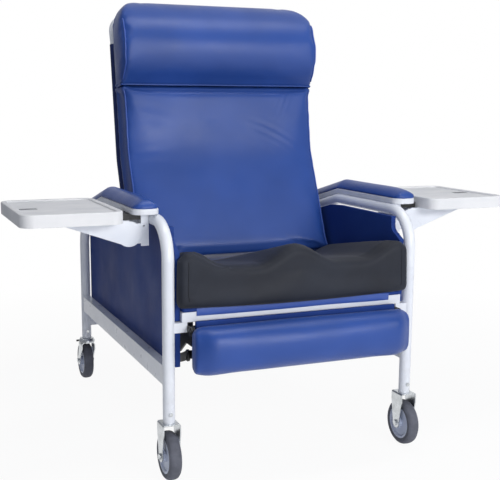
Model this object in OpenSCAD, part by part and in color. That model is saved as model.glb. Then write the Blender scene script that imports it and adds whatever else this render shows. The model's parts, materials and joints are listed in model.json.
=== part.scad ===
// Wheeled patient recliner: bent-tube side frames, upholstered back, legrest that
// rises as the back goes down, fold-down side trays and four 125 mm casters.
// X runs across the chair, Y from front to back, Z up. The floor is Z = 0.

/* [Side frames] */
// Distance between the left and right tube centre lines
leg_spacing = 704; // [660:2:760]
// Distance from the front leg to the rear leg
leg_depth = 923; // [860:1:980]
// Outside diameter of the bent tube
tube_d = 31.8; // [28:0.2:34]
// Wall of every steel tube
tube_wall = 2; // [1.5:0.1:2.5]
// Height of the arm tube's centre line
arm_tube_z = 665.5; // [620:0.5:700]
// Height of the lower end of the legs
leg_foot_z = 153; // [151:1:158]
// Centre line radius of the bend above the front leg
front_bend_r = 92; // [80:1:100]
// Centre line radius of the bend above the rear leg
rear_bend_r = 70; // [60:1:90]
// Distance from the front leg to the kink in the arm
kink_back = 410; // [380:1:440]
// Fall of the arm tube behind the kink
arm_fall = 14; // [8:0.5:16]
// Thickness of the rectangular lower rail
rail_t = 25.4; // [20:0.1:27]
// Height of the rectangular lower rail
rail_h = 50.8; // [40:0.1:60]
// Underside of the lower side rail
rail_z = 251; // [245:1:262]
// Underside of the rear cross rail
rear_rail_z = 198; // [185:1:200]

/* [Side panels] */
// Thickness of the upholstered side panel
panel_t = 14; // [12:1:18]
// Gap between the panel and the side of the tube
panel_gap = 2; // [1.5:0.5:4]
// Gap between the panel's top edge and the arm tube
panel_top_gap = 2; // [1:0.5:6]
// Depth of the notch in the upper front corner
notch_back = 46; // [40:1:60]
// Lowest point of that notch
notch_z = 592; // [570:1:600]

/* [Arm rests] */
// Width of the arm rest
arm_w = 71; // [66:1:78]
// Distance that the arm rest overhangs the inner side of the tube centre
arm_inset = 5; // [2:1:10]
// Thickness of the moulded arm base
arm_base_t = 16; // [12:1:18]
// Height of the arm pad's crown
arm_pad_t = 25; // [20:1:34]
// Distance from the front leg to the front end of the arm rest
arm_front_back = 65; // [55:1:80]
// Distance from the front leg to the rear end of the arm rest
arm_rear_back = 690; // [660:1:720]

/* [Seat] */
// Side of the square seat tubes
seat_tube = 25.4; // [22:0.1:28]
// Underside of the seat frame
seat_frame_z = 415; // [405:1:420]
// Thickness of the upholstered seat deck
seat_deck_t = 11.6; // [10:0.1:16]
// Height of the cushion's front edge under the thighs
cushion_trough_h = 97; // [80:1:110]
// Height of the front of its side bolsters
cushion_bolster_h = 141; // [120:1:150]
// Height of the front of the ridge between the thighs
cushion_ridge_h = 145; // [120:1:155]
// Height of the cushion's rear edge in the middle of each seat
cushion_trough_rear_h = 46; // [40:1:60]
// Height of the rear of its side bolsters
cushion_bolster_rear_h = 74; // [60:1:90]
// Height of the rear of the ridge
cushion_ridge_rear_h = 53; // [46:1:70]
// Distance that the cushion hangs over in front of the front legs
cushion_lip = 36; // [30:1:42]

/* [Back] */
// Rake of the upright back below its bend, from the vertical
back_rake = 23; // [18:0.5:26]
// Rake above the bend
upper_rake = 9.5; // [6:0.5:12]
// Distance along the back from the pivot to the bend
back_bend_up = 387; // [360:1:410]
// Distance from the front leg to the back pivot
back_pivot_back = 464; // [450:1:480]
// Height of the back pivot
back_pivot_z = 430; // [427:1:433]
// Gap between the back and each side panel
back_side_gap = 4.1; // [4:0.1:20]
// Thickness of the back cushion
back_pad_t = 78; // [60:1:84]
// Distance along the back from the pivot to the seam under the head roll
head_seam_up = 604; // [580:1:630]
// Distance along the back from the pivot to the top of the head roll
back_top_up = 869; // [840:1:890]
// Distance that the head roll stands in front of the back cushion
head_roll_proud = 62; // [40:1:70]
// Corner radius of the head roll and the back
back_corner_r = 85; // [60:1:95]
// Diameter of the back frame tube
back_tube_d = 25.4; // [22:0.1:26]

/* [Legrest] */
// Gap between the end of the legrest and the plate that it hangs on
legrest_side_gap = 1.1; // [1:0.1:8]
// Thickness of the legrest pad
legrest_pad_t = 62; // [54:1:66]
// Height of the legrest pad
legrest_h = 128; // [115:1:132]
// Distance from the front leg to the pad's front face
legrest_front = 97; // [94:1:100]
// Underside of the hanging legrest
legrest_z = 286; // [280:1:290]
// Distance of the legrest hinge in front of the front legs
legrest_pivot_front = 34; // [32:1:36]
// Height of the legrest hinge
legrest_pivot_z = 395; // [392:1:398]

/* [Linkage] */
// Length of the crank on the legrest arm
legrest_crank = 95; // [90:1:98]
// Angle through which the back goes down
back_travel = 50; // [40:1:50]
// Angle through which the legrest rises
legrest_travel = 75; // [60:1:75]
// Drop of the drive link's middle below its ends
link_bow = 50; // [40:1:56]
// Width of the drive link
link_w = 23; // [20:1:26]
// Thickness of the steel plates
plate_t = 5; // [4:0.5:5.5]
// Diameter of the pivot pins
pin_d = 10; // [8:0.5:12]
// Room for the pin in the slot at the front of the drive link
slot_play = 8.5; // [8:0.5:10]

/* [Trays] */
// Width of the tray, across the chair
tray_w = 257; // [225:1:275]
// Length of the tray, along the chair
tray_l = 362; // [320:1:390]
// Height of the tray's moulded edge
tray_h = 32; // [26:1:36]
// Level of the tray's rim
tray_top_z = 697; // [690:1:705]
// Distance from the tube centre to the tray's inner edge
tray_inner_out = 96; // [92:1:115]
// Distance from the front leg to the tray's front edge
tray_front_back = 36; // [20:1:50]
// Corner radius of the tray
tray_corner_r = 34; // [24:1:40]
// Width of the raised rim
tray_rim = 16; // [10:1:24]
// Depth of the recessed top
tray_recess = 4; // [2:0.5:5]
// Wall of the moulded tray
tray_wall = 4; // [3:0.5:5]
// Distance from the front leg to the front cheek of the tray arm
tray_arm_back = 105; // [95:1:120]
// Length of the hinge, from cheek to cheek
tray_arm_l = 96; // [80:1:120]
// Radius of the rounded inner end of the tray arm
tray_arm_r = 33; // [30:1:34]
// Distance from the tube centre to the tray hinge
tray_pivot_out = 69; // [66:1:76]
// Height of the tray hinge
tray_pivot_z = 630; // [625:1:632]
// Length of the tray arm beyond its hinge
tray_arm_out = 171; // [150:1:190]
// Sheet thickness of the tray arms and brackets
sheet = 3; // [2:0.5:4]

/* [Casters] */
// Wheel diameter
wheel_d = 127; // [120:1:128]
// Wheel width
wheel_w = 32; // [28:1:34]
// Diameter of the hub
hub_d = 92; // [80:1:98]
// Outside width of the caster fork
fork_w = 48; // [46:1:54]
// Depth of the front fork's square top
fork_top_d = 52; // [46:1:56]
// Trail of the rear swivel casters
caster_trail = 28; // [22:1:34]
// Diameter of the axle bolts
axle_d = 8; // [7:0.5:10]

/* [Hidden] */
$fn = 48;

// Clearances
pin_clear = 0.05;    // radial, for a pin that turns in a hole
side_clear = 0.7;    // between plates that pass each other
axle_clear = 0.05;   // radial, for a wheel on its axle
block_clear = 0.4;   // between the seat's end blocks and the side panels
cover_clear = 0.3;   // between the back tube and the cover round it
bond_t = 0.03;       // glue line between the back's board and what lies on it
panel_lap = 6;       // of the side panel behind the rail and the rear leg
rail_strip_t = 4;    // recliner rail on the panel's inner face

// Places across the chair
tube_x = leg_spacing / 2;
tube_r = tube_d / 2;
panel_outer_x = tube_x - tube_r - panel_gap;
panel_inner_x = panel_outer_x - panel_t;
plate_x = panel_inner_x - rail_strip_t;         // inner face of the recliner rail
back_tube_x = plate_x - 2 - back_tube_d / 2;
lever_x = back_tube_x - back_tube_d / 2 - plate_t;
link_x = lever_x + plate_t + side_clear;
arm_plate_x = link_x + plate_t + side_clear;
hinge_plate_x = arm_plate_x + plate_t + side_clear;
tail_x = lever_x;                               // the arm's tail runs beside the link
back_half_w = panel_inner_x - back_side_gap;
legrest_half_w = arm_plate_x - legrest_side_gap;

// Places from front to back: the origin lies halfway between the legrest's
// front and the rear wheels.
wheel_r = wheel_d / 2;
front_leg_y = -(leg_depth + caster_trail + wheel_r - legrest_front) / 2;

// Heights
rail_top_z = rail_z + rail_h;
seat_top_z = seat_frame_z + seat_tube + seat_deck_t;
arm_base_z = arm_tube_z + tube_r;
tray_arm_top_z = tray_top_z - tray_h;

// Legrest and linkage points, as [distance behind the front leg, height]
legrest_pivot = [-legrest_pivot_front, legrest_pivot_z];
back_pivot = [back_pivot_back, back_pivot_z];
legrest_crank_at = legrest_travel / 2;          // crank angles behind straight down
back_crank_at = back_travel / 2;
back_crank = legrest_crank * sin(legrest_crank_at) / sin(back_crank_at);
crank_pin = legrest_pivot + legrest_crank * [sin(legrest_crank_at), -cos(legrest_crank_at)];
lever_pin = back_pivot + back_crank * [sin(back_crank_at), -cos(back_crank_at)];
link_run = lever_pin - crank_pin;
link_len = norm(link_run);
link_angle = atan2(link_run[1], link_run[0]);

// Colours
white_enamel = [0.93, 0.94, 0.97];
royal_vinyl = [0.16, 0.27, 0.62];
navy_vinyl = [0.12, 0.17, 0.40];
charcoal_cloth = [0.24, 0.25, 0.29];
black_steel = [0.08, 0.08, 0.08];
zinc = [0.72, 0.71, 0.68];
tyre_grey = [0.40, 0.40, 0.45];
hub_grey = [0.60, 0.63, 0.71];
tray_white = [0.90, 0.91, 0.93];
plywood = [0.70, 0.56, 0.38];

// ---------------------------------------------------------------- helpers

// Puts the point below the front legs' line at its place in the chair's frame.
module from_front_legs() {
    translate([0, front_leg_y, 0]) children();
}

// Right-hand part for side = 1, its mirror image for side = -1.
module on_side(side) {
    from_front_legs() mirror([side < 0 ? 1 : 0, 0, 0]) children();
}

// Turns a flat drawing into the side view: its x runs back, its y runs up and
// its thickness runs outwards from X = x.
module side_view(x = 0) {
    translate([x, 0, 0]) rotate([90, 0, 90]) children();
}

function unit(v) = v / norm(v);
function left_of(v) = [-v[1], v[0]];
function turn(a, b, c) =
    let (u = unit(b - a), v = unit(c - b)) atan2(u[0] * v[1] - u[1] * v[0], u * v);
function trim(a, b, c, r) = r * tan(abs(turn(a, b, c)) / 2);
function trim_at(path, radii, i) =
    i == 0 || i == len(path) - 1 ? 0 : trim(path[i - 1], path[i], path[i + 1], radii[i - 1]);

// Round bar of diameter d along a flat path, with a bend of its own radius at each
// inner corner. The ends run on by `over`. A bend is drawn a hair thinner than the
// straight runs, which reach a little way into it.
bend_neck = 0.15;
bend_lap = 1;

module bent_bar(path, radii, d, over = 0) {
    last = len(path) - 2;
    for (i = [0 : last]) {
        along = unit(path[i + 1] - path[i]);
        start = path[i] + along * (trim_at(path, radii, i) - (i == 0 ? over : bend_lap));
        end = path[i + 1] - along * (trim_at(path, radii, i + 1) - (i == last ? over : bend_lap));
        translate([start[0], start[1], 0])
            rotate([0, 0, atan2(along[1], along[0])])
                rotate([0, 90, 0]) cylinder(h = norm(end - start), d = d);
    }
    for (i = [1 : last]) {
        along = unit(path[i] - path[i - 1]);
        bend = turn(path[i - 1], path[i], path[i + 1]);
        hand = bend > 0 ? 1 : -1;
        begin = path[i] - along * trim_at(path, radii, i);
        centre = begin + hand * left_of(along) * radii[i - 1];
        from = atan2(-hand * left_of(along)[1], -hand * left_of(along)[0]);
        translate([centre[0], centre[1], 0])
            rotate([0, 0, min(from, from + bend)])
                rotate_extrude(angle = abs(bend))
                    translate([radii[i - 1], 0]) circle(d = d - 2 * bend_neck);
    }
}

// Tube: the bar less its bore.
module bent_tube(path, radii, d, wall) {
    difference() {
        bent_bar(path, radii, d);
        bent_bar(path, radii, d - 2 * wall, 1);
    }
}

// Rectangle with round corners of radius r, from its low corner.
module round_rect(size, r) {
    translate([r, 0]) square([size[0] - 2 * r, size[1]]);
    translate([0, r]) square([size[0], size[1] - 2 * r]);
    for (x = [r, size[0] - r], y = [r, size[1] - r]) translate([x, y]) circle(r);
}

// Bar with round ends between two points, in a flat drawing. Its straight sides lie
// a hair inside the ends' diameter.
module round_bar(a, b, r) {
    run = b - a;
    side = r - 0.06;
    translate(a) circle(r);
    translate(b) circle(r);
    translate(a) rotate([0, 0, atan2(run[1], run[0])])
        translate([0, -side]) square([norm(run), 2 * side]);
}

// Square tube along local X.
module square_tube(length, side, wall) {
    difference() {
        cube([length, side, side]);
        translate([-1, wall, wall]) cube([length + 2, side - 2 * wall, side - 2 * wall]);
    }
}

// ---------------------------------------------------------------- side frames

arm_drop = (leg_depth - kink_back) * tan(arm_fall);
side_path = [
    [0, leg_foot_z], [0, arm_tube_z], [kink_back, arm_tube_z],
    [leg_depth, arm_tube_z - arm_drop], [leg_depth, leg_foot_z]
];
kink_r = 120;

// Point of the kink at a height above the arm tube's centre line, and the height of
// the sloping run at a distance behind the front leg.
function over_kink(h) = [kink_back + h * tan(arm_fall / 2), arm_tube_z + h];
function over_slope(h, back) = over_kink(h)[1] - (back - over_kink(h)[0]) * tan(arm_fall);

leg_bolt_z = leg_foot_z + 25;
leg_bolt_d = 6;

module side_frame(side) {
    color(white_enamel) on_side(side) difference() {
        side_view(tube_x)
            bent_tube(side_path, [front_bend_r, kink_r, rear_bend_r], tube_d, tube_wall);
        leg_bolt_holes();
    }
}

module leg_bolt_holes() {
    for (y = [0, leg_depth]) translate([tube_x, y, leg_bolt_z]) rotate([90, 0, 0])
        cylinder(h = tube_r + 1, d = leg_bolt_d);
}

module leg_bars() {
    for (y = [0, leg_depth]) translate([tube_x, y, 0]) cylinder(h = arm_tube_z, d = tube_d);
}

module side_rail(side) {
    color(white_enamel) on_side(side) difference() {
        translate([tube_x - rail_t / 2, 0, rail_z]) cube([rail_t, leg_depth, rail_h]);
        translate([tube_x - rail_t / 2 + tube_wall, -1, rail_z + tube_wall])
            cube([rail_t - 2 * tube_wall, leg_depth + 2, rail_h - 2 * tube_wall]);
        leg_bars();
    }
}

module rear_cross_rail() {
    half = tube_x;
    color(white_enamel) from_front_legs() difference() {
        translate([-half, leg_depth - rail_t / 2, rear_rail_z]) cube([2 * half, rail_t, rail_h]);
        translate([-half - 1, leg_depth - rail_t / 2 + tube_wall, rear_rail_z + tube_wall])
            cube([2 * half + 2, rail_t - 2 * tube_wall, rail_h - 2 * tube_wall]);
        for (x = [-tube_x, tube_x]) translate([x, leg_depth, 0]) cylinder(h = arm_tube_z, d = tube_d);
    }
}

// ---------------------------------------------------------------- side panels

panel_back = leg_depth - panel_lap;
panel_bottom = rail_top_z - panel_lap;
panel_front = 1;
panel_slope_gap = 4;                            // more below the tube behind the kink
panel_slope_from = 60;                          // in front of the kink
notch_slope = 0.5;
notch_r = 24;

// Side view of the panel: it follows the kink of the arm tube, is cut away below the
// arm's front bend and round the block on the leg.
module panel_outline() {
    top = -tube_r + panel_top_gap;
    notch_floor_z = notch_z + notch_back * notch_slope;
    difference() {
        polygon([
            [panel_front, panel_bottom], [panel_back, panel_bottom],
            [panel_back, over_slope(top - panel_slope_gap, panel_back)],
            over_kink(top - panel_slope_gap), [kink_back - panel_slope_from, arm_tube_z + top],
            [notch_back, arm_tube_z + top], [notch_back, notch_floor_z + notch_r],
            [notch_back - notch_r, notch_floor_z - notch_r * notch_slope], [panel_front, notch_z]
        ]);
        translate([notch_back - notch_r, notch_floor_z + notch_r * 0.62]) circle(notch_r);
        translate([0, stub_z - 1.5]) square([seat_tube / 2 + 1.5, stub_h + 1]);
    }
}

module side_panel(side) {
    color(royal_vinyl) on_side(side) side_view(panel_inner_x)
        linear_extrude(panel_t) panel_outline();
}

// ---------------------------------------------------------------- arm rests

arm_inner_x = tube_x - arm_inset;
arm_corner_r = 30;

// Side profile that follows the arm, between two heights above the tube's centre line.
module arm_profile(low, high) {
    rear = arm_rear_back + 60;
    polygon([
        [0, arm_tube_z + low], over_kink(low), [rear, over_slope(low, rear)],
        [rear, over_slope(high, rear)], over_kink(high), [0, arm_tube_z + high]
    ]);
}

module arm_plan(inset) {
    translate([arm_inner_x + inset, arm_front_back + inset])
        round_rect([arm_w - 2 * inset, arm_rear_back - arm_front_back - 2 * inset], arm_corner_r - inset);
}

// Upright prism over the plan, tall enough for the whole arm rest.
module arm_prism(inset) {
    translate([0, 0, arm_tube_z - arm_drop])
        linear_extrude(arm_drop + tube_r + arm_base_t + 2 * arm_pad_t) arm_plan(inset);
}

module arm_base(side) {
    color(white_enamel) on_side(side) intersection() {
        side_view(arm_inner_x) linear_extrude(arm_w) arm_profile(tube_r, tube_r + arm_base_t);
        arm_prism(0);
    }
}

// Bar with the arm pad's crowned section. It runs forward from y = 0 on z = 0.
module arm_crown(length) {
    rise = arm_pad_t * 0.6;
    crown_r = (pow(arm_w / 2, 2) + pow(rise, 2)) / (2 * rise);
    rotate([90, 0, 0]) linear_extrude(length) intersection() {
        square([arm_w, arm_pad_t]);
        translate([arm_w / 2, arm_pad_t - crown_r]) circle(crown_r);
    }
}

arm_nose_r = 22;

// What is cut from the pad to round its front end, above the seat of the pad.
module arm_nose_cut(low) {
    centre = [arm_front_back + 1 + arm_nose_r, low + arm_pad_t + 1 - arm_nose_r];
    side_view(arm_inner_x - 1) linear_extrude(arm_w + 2) difference() {
        translate([centre[0] - 2 * arm_nose_r, centre[1]]) square(2 * arm_nose_r);
        translate(centre) circle(arm_nose_r);
    }
}

// The crown follows the arm: level in front of the kink, falling behind it. The two
// runs meet on the mitre plane through the kink.
module arm_pad(side) {
    low = tube_r + arm_base_t;
    high = low + 60;
    lap = [2, 0];
    kink = over_kink(low);
    far = arm_rear_back + 60;
    color(royal_vinyl) on_side(side) difference() {
        intersection() {
            arm_prism(1);
            union() {
                intersection() {
                    translate([arm_inner_x, kink_back + 30, kink[1]]) arm_crown(kink_back + 30);
                    side_view(arm_inner_x) linear_extrude(arm_w) polygon([
                        [0, kink[1] - 1], kink + lap - [0, 1], over_kink(high) + lap, [0, kink[1] + 60]
                    ]);
                }
                intersection() {
                    translate([arm_inner_x, kink[0], kink[1]]) rotate([-arm_fall, 0, 0])
                        translate([0, far - kink[0], 0]) arm_crown(far);
                    side_view(arm_inner_x) linear_extrude(arm_w) polygon([
                        kink, over_kink(high), [far, kink[1] + 60], [far, kink[1] - arm_drop - 60]
                    ]);
                }
            }
        }
        arm_nose_cut(kink[1]);
    }
}

// ---------------------------------------------------------------- trays

tray_pivot_x = tube_x + tray_pivot_out;
bracket_gap = side_clear;
bracket_front_y = tray_arm_back + sheet + bracket_gap;
bracket_l = tray_arm_l - 2 * (sheet + bracket_gap);
bracket_bottom_z = tray_pivot_z - tray_arm_r;
tray_hub_r = 12;
bracket_flange_w = 21;
bracket_hole = [13, 52];                        // out from the tube, up from the bracket's foot
bracket_hole_d = 5;
stop_setback = 8;                               // of the stop block behind the tray's inner edge

// Channel welded to the outside of the arm tube, under the arm rest.
module tray_bracket(side) {
    cheek_h = arm_base_z - bracket_bottom_z;
    color(white_enamel) on_side(side) difference() {
        union() {
            translate([tube_x + tube_r, bracket_front_y, bracket_bottom_z]) cube([sheet, bracket_l, cheek_h]);
            for (y = [bracket_front_y, bracket_front_y + bracket_l - sheet])
                translate([tube_x + tube_r, y + sheet, bracket_bottom_z]) rotate([90, 0, 0])
                    linear_extrude(sheet) bracket_cheek(cheek_h);
        }
        tray_pin_hole(pin_clear);
        translate([tube_x + tube_r, bracket_front_y - 1, bracket_bottom_z])
            translate([bracket_hole[0], 0, bracket_hole[1]]) rotate([-90, 0, 0])
                cylinder(h = sheet + 2, d = bracket_hole_d);
    }
}

// Cheek of the bracket: an upright flange and, behind the tray arm's round end, a
// boss for the pin.
module bracket_cheek(h) {
    pivot = [tray_pivot_x - tube_x - tube_r, tray_pivot_z - bracket_bottom_z];
    boss_r = tray_arm_r - 5;
    square([bracket_flange_w, h]);
    translate([0, pivot[1] - boss_r + 2]) square([pivot[0], 2 * boss_r - 4]);
    translate(pivot) circle(boss_r);
}

// Black stop block between the cheeks, under the arm rest. The tray arm's flat top
// comes up against it when the tray is level.
module tray_stops() {
    low = tray_arm_top_z + side_clear;
    wall = tube_x + tube_r + sheet;
    color(black_steel) for (side = [-1, 1]) on_side(side)
        translate([wall, bracket_front_y + sheet, low])
            cube([tube_x + tray_inner_out - stop_setback - wall, bracket_l - 2 * sheet, arm_base_z - low]);
}

module tray_pin_hole(clear) {
    translate([tray_pivot_x, tray_arm_back - 1, tray_pivot_z]) rotate([-90, 0, 0])
        cylinder(h = tray_arm_l + 2, d = pin_d + 2 * clear);
}

// Formed arm: two tapered cheeks with a round inner end, a floor that wraps
// under them, a flange under the tray and the hinge pin between the cheeks.
module tray_cheek_outline() {
    tip_out = tray_arm_out;
    top = tray_arm_top_z - tray_pivot_z;
    difference() {
        union() {
            circle(tray_arm_r);
            polygon([[0, -tray_arm_r], [tip_out, top - 7], [tip_out, top], [0, top]]);
        }
        translate([-tray_arm_r - 1, top]) square([tip_out + tray_arm_r + 2, tray_arm_r]);
    }
}

module tray_arm(side) {
    color(white_enamel) on_side(side) translate([tray_pivot_x, 0, tray_pivot_z]) {
        for (y = [tray_arm_back + sheet, tray_arm_back + tray_arm_l])
            translate([0, y, 0]) rotate([90, 0, 0]) linear_extrude(sheet) tray_cheek_outline();
        translate([0, tray_arm_back + tray_arm_l - sheet / 2, 0]) rotate([90, 0, 0])
            linear_extrude(tray_arm_l - sheet) tray_floor_outline();
        translate([0, tray_arm_back + sheet / 2, 0]) rotate([-90, 0, 0])
            cylinder(h = tray_arm_l - sheet, d = pin_d);
    }
}

// Section of the floor sheet: the strip along the cheeks' lower edge, clear of the
// bracket, and the flange that is screwed under the tray.
module tray_floor_outline() {
    top = tray_arm_top_z - tray_pivot_z;
    floor_from = tray_hub_r + 26;
    intersection() {
        tray_cheek_outline();
        union() {
            translate([floor_from, top - sheet]) square([tray_arm_out - floor_from, sheet]);
            difference() {
                translate([floor_from, -tray_arm_r]) square([tray_arm_out, 3 * tray_arm_r]);
                translate([0, sheet * 1.05]) tray_cheek_outline();
                translate([floor_from - 1, top - sheet - 1]) square([tray_arm_out, sheet + 2]);
            }
            translate([tray_arm_out - 24, top - 12]) square([24, 12]);
        }
    }
}

tray_inner_x = tube_x + tray_inner_out;

module tray_outline(inset) {
    translate([tray_inner_x + inset, tray_front_back + inset])
        round_rect([tray_w - 2 * inset, tray_l - 2 * inset], tray_corner_r - inset);
}

// Moulded tray: a shell that is open below, with a raised rim, a recessed top,
// cross ribs and a small square finger recess near its outer front corner.
module tray(side) {
    rib_count = 3;
    finger = [48, 30];
    color(tray_white) on_side(side) difference() {
        translate([0, 0, tray_top_z - tray_h]) linear_extrude(tray_h) tray_outline(0);
        translate([0, 0, tray_top_z - tray_recess]) linear_extrude(tray_recess + 1)
            tray_outline(tray_rim);
        translate([tray_inner_x + tray_w - tray_rim - finger[0] - 6, tray_front_back + tray_l * 0.42,
                tray_top_z - tray_recess - 1.5])
            linear_extrude(3) round_rect(finger, 6);
        difference() {
            translate([0, 0, tray_top_z - tray_h - 1])
                linear_extrude(tray_h - tray_recess - tray_wall - 1.5) tray_outline(tray_wall);
            for (i = [1 : rib_count])
                translate([tray_inner_x, tray_front_back + i * tray_l / (rib_count + 1) - tray_wall / 2,
                        tray_top_z - tray_h])
                    cube([tray_w, tray_wall, tray_h]);
            translate([tray_inner_x, tray_arm_back, tray_top_z - tray_h]) cube([tray_w, tray_arm_l, tray_h]);
        }
    }
}

// ---------------------------------------------------------------- seat

seat_rear = back_pivot_back - 24;
block_w = 38;
front_tube_half = panel_inner_x - block_clear - block_w;
bar_inner_x = plate_x - seat_tube;

module seat_frame() {
    color(white_enamel) from_front_legs() {
        translate([-front_tube_half, -seat_tube / 2, seat_frame_z])
            square_tube(2 * front_tube_half, seat_tube, tube_wall);
        for (side = [-1, 1]) mirror([side < 0 ? 1 : 0, 0, 0])
            translate([plate_x, seat_tube / 2, seat_frame_z]) rotate([0, 0, 90])
                square_tube(seat_rear - seat_tube / 2, seat_tube, tube_wall);
        translate([-bar_inner_x, seat_rear - seat_tube, seat_frame_z])
            square_tube(2 * bar_inner_x, seat_tube, tube_wall);
        translate([seat_tube / 2, seat_tube / 2, seat_frame_z]) rotate([0, 0, 90])
            square_tube(seat_rear - 1.5 * seat_tube, seat_tube, tube_wall);
    }
}

module seat_end_blocks() {
    color(white_enamel) for (side = [-1, 1]) on_side(side)
        translate([front_tube_half, -seat_tube / 2, seat_frame_z]) cube([block_w, seat_tube, seat_tube]);
}

module seat_deck() {
    color(royal_vinyl) from_front_legs() translate([0, 0, seat_frame_z + seat_tube])
        linear_extrude(seat_deck_t) translate([-panel_inner_x + 2, -seat_tube / 2 - 2])
            round_rect([2 * (panel_inner_x - 2), seat_rear + seat_tube / 2 + 2], 6);
}

cushion_half_w = panel_inner_x - 3;
cushion_lip_half_w = tube_x - tube_r - 7;       // in front of the legs' inner sides
cushion_rear = back_pivot_back - 104;
cushion_edge_r = 18;
cushion_top_steps = 32;
ridge_share = 0.36;                             // of the half width, out from the middle
bolster_from = 0.6;                             // the bolster rises from here
bolster_share = 0.34;                           // over this much more

function ease(t) = 0.5 - 0.5 * cos(180 * max(0, min(1, t)));
function between(a, b, t) = a + (b - a) * t;

// Height of the cushion's top at a share t of its half width and a place y behind the
// front legs: a ridge in the middle, a trough under each thigh, a bolster at each side.
function cushion_top(t, y) =
    let (back = max(0, y) / cushion_rear,
         trough = between(cushion_trough_h, cushion_trough_rear_h, back),
         ridge = between(cushion_ridge_h, cushion_ridge_rear_h, back) - trough,
         bolster = between(cushion_bolster_h, cushion_bolster_rear_h, back) - trough)
    trough + ridge * (1 - ease(abs(t) / ridge_share))
        + bolster * ease((abs(t) - bolster_from) / bolster_share);

// How far a round edge draws in, at a distance d from the end of the cushion.
function edge_inset(d) =
    d >= cushion_edge_r ? 0 : cushion_edge_r - sqrt(pow(cushion_edge_r, 2) - pow(cushion_edge_r - d, 2));

function cushion_stations() = concat(
    [for (d = [0, 2, 6, 12]) -cushion_lip + d],
    [-cushion_lip + cushion_edge_r, -2.5, -0.5],
    [for (i = [1 : 7]) (cushion_rear - cushion_edge_r) * i / 7],
    [for (d = [12, 6, 2, 0]) cushion_rear - d]
);

// One closed section across the cushion: its round lower corners, then its top.
function cushion_ring(y) =
    let (inset = edge_inset(min(y + cushion_lip, cushion_rear - y)),
         half = (y < -1 ? cushion_lip_half_w : cushion_half_w) - inset,
         r = cushion_edge_r * 0.6)
    concat(
        [for (a = [0 : 30 : 90]) [half - r + r * sin(a), y, inset + r - r * cos(a)]],
        [for (i = [0 : cushion_top_steps])
            let (t = 1 - 2 * i / cushion_top_steps, side = edge_inset((1 - abs(t)) * half))
            [half * t, y, cushion_top(t, y) - inset - side]],
        [for (a = [90 : -30 : 0]) [-half + r - r * sin(a), y, inset + r - r * cos(a)]]
    );

module seat_cushion() {
    rings = [for (y = cushion_stations()) cushion_ring(y)];
    n = len(rings[0]);
    last = len(rings) - 1;
    faces = concat(
        [[for (j = [0 : n - 1]) j]],
        [[for (j = [n - 1 : -1 : 0]) last * n + j]],
        [for (i = [0 : last - 1], j = [0 : n - 1])
            let (a = i * n, k = (j + 1) % n) [a + j, a + n + j, a + n + k]],
        [for (i = [0 : last - 1], j = [0 : n - 1]) let (a = i * n, k = (j + 1) % n) [a + j, a + n + k, a + k]]
    );
    color(charcoal_cloth) from_front_legs() translate([0, 0, seat_top_z])
        polyhedron([for (ring = rings) each ring], faces);
}

// ---------------------------------------------------------------- recliner mechanism

pivot_boss_r = 20;

// Rail on the inside of the side panel. It carries the seat's side bar and, on a
// boss at its rear end, the stud that the back turns on.
module recliner_rail(side) {
    strip_h = seat_tube + 16;
    strip_z = seat_frame_z + seat_tube - strip_h;
    color(black_steel) on_side(side) {
        side_view(plate_x) linear_extrude(rail_strip_t) {
            translate([seat_tube / 2 + 6, strip_z])
                square([back_pivot_back - seat_tube / 2 - 6, strip_h]);
            translate(back_pivot) circle(pivot_boss_r);
        }
        side_view(lever_x - 6) translate([back_pivot[0], back_pivot[1], 0]) {
            cylinder(h = plate_x - lever_x + 7, d = pin_d);
            cylinder(h = 6 - side_clear, d = pin_d + 8);
        }
    }
}

hanger_front = 0;
hanger_foot = [100, 320];

// Plate that hangs inside the seat's side bar, above the drive link.
module recliner_plate_outline() {
    top = seat_frame_z + seat_tube - 2;
    step_z = 347;
    foot_r = 11;
    difference() {
        union() {
            polygon([
                [seat_tube / 2 + 1, top], [seat_tube / 2 + 1, seat_frame_z - 1],
                [hanger_front, seat_frame_z - 1], [hanger_front, step_z], [43, step_z],
                [hanger_foot[0] - foot_r * 0.6, hanger_foot[1] - foot_r * 0.8],
                [hanger_foot[0] + foot_r * 0.6, hanger_foot[1] - foot_r * 0.8],
                [150, 372], [260, 386], [260, top]
            ]);
            translate(hanger_foot) circle(foot_r);
        }
        translate(hanger_foot) circle(4);
        translate([62, 385]) circle(14);
        translate([128, 400]) round_rect([100, 20], 9.9);
    }
}

module recliner_plate(side) {
    color(black_steel) on_side(side) side_view(bar_inner_x - plate_t)
        linear_extrude(plate_t) recliner_plate_outline();
}

stub_h = 28;
stub_z = legrest_pivot_z - 6;

// Block on the inner side of each front leg.
module leg_stubs() {
    stub_x = hinge_plate_x + plate_t;
    color(white_enamel) for (side = [-1, 1]) on_side(side) difference() {
        translate([stub_x, -seat_tube / 2, stub_z]) cube([tube_x - stub_x, seat_tube, stub_h - 2]);
        leg_bars();
    }
}

// Plate on the end of the block, with the stud that the legrest hangs on.
module legrest_hinges() {
    color(black_steel) for (side = [-1, 1]) on_side(side) {
        side_view(hinge_plate_x) linear_extrude(plate_t) {
            round_bar(legrest_pivot, [-6, legrest_pivot_z], eye_r);
            translate([-6, stub_z]) round_rect([seat_tube / 2 + 6, stub_h - 4], 4);
        }
        side_view(arm_plate_x - 0.5) translate([legrest_pivot[0], legrest_pivot[1], 0])
            cylinder(h = hinge_plate_x - arm_plate_x + 1.5, d = pin_d);
        side_view(hinge_plate_x + plate_t) translate([legrest_pivot[0], legrest_pivot[1], 0])
            cylinder(h = 3, d = pin_d + 6);
    }
}

// ---------------------------------------------------------------- casters

fork_t = 3;
fork_top_z = leg_foot_z;
stem_r = tube_r - tube_wall - 0.05;

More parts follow.
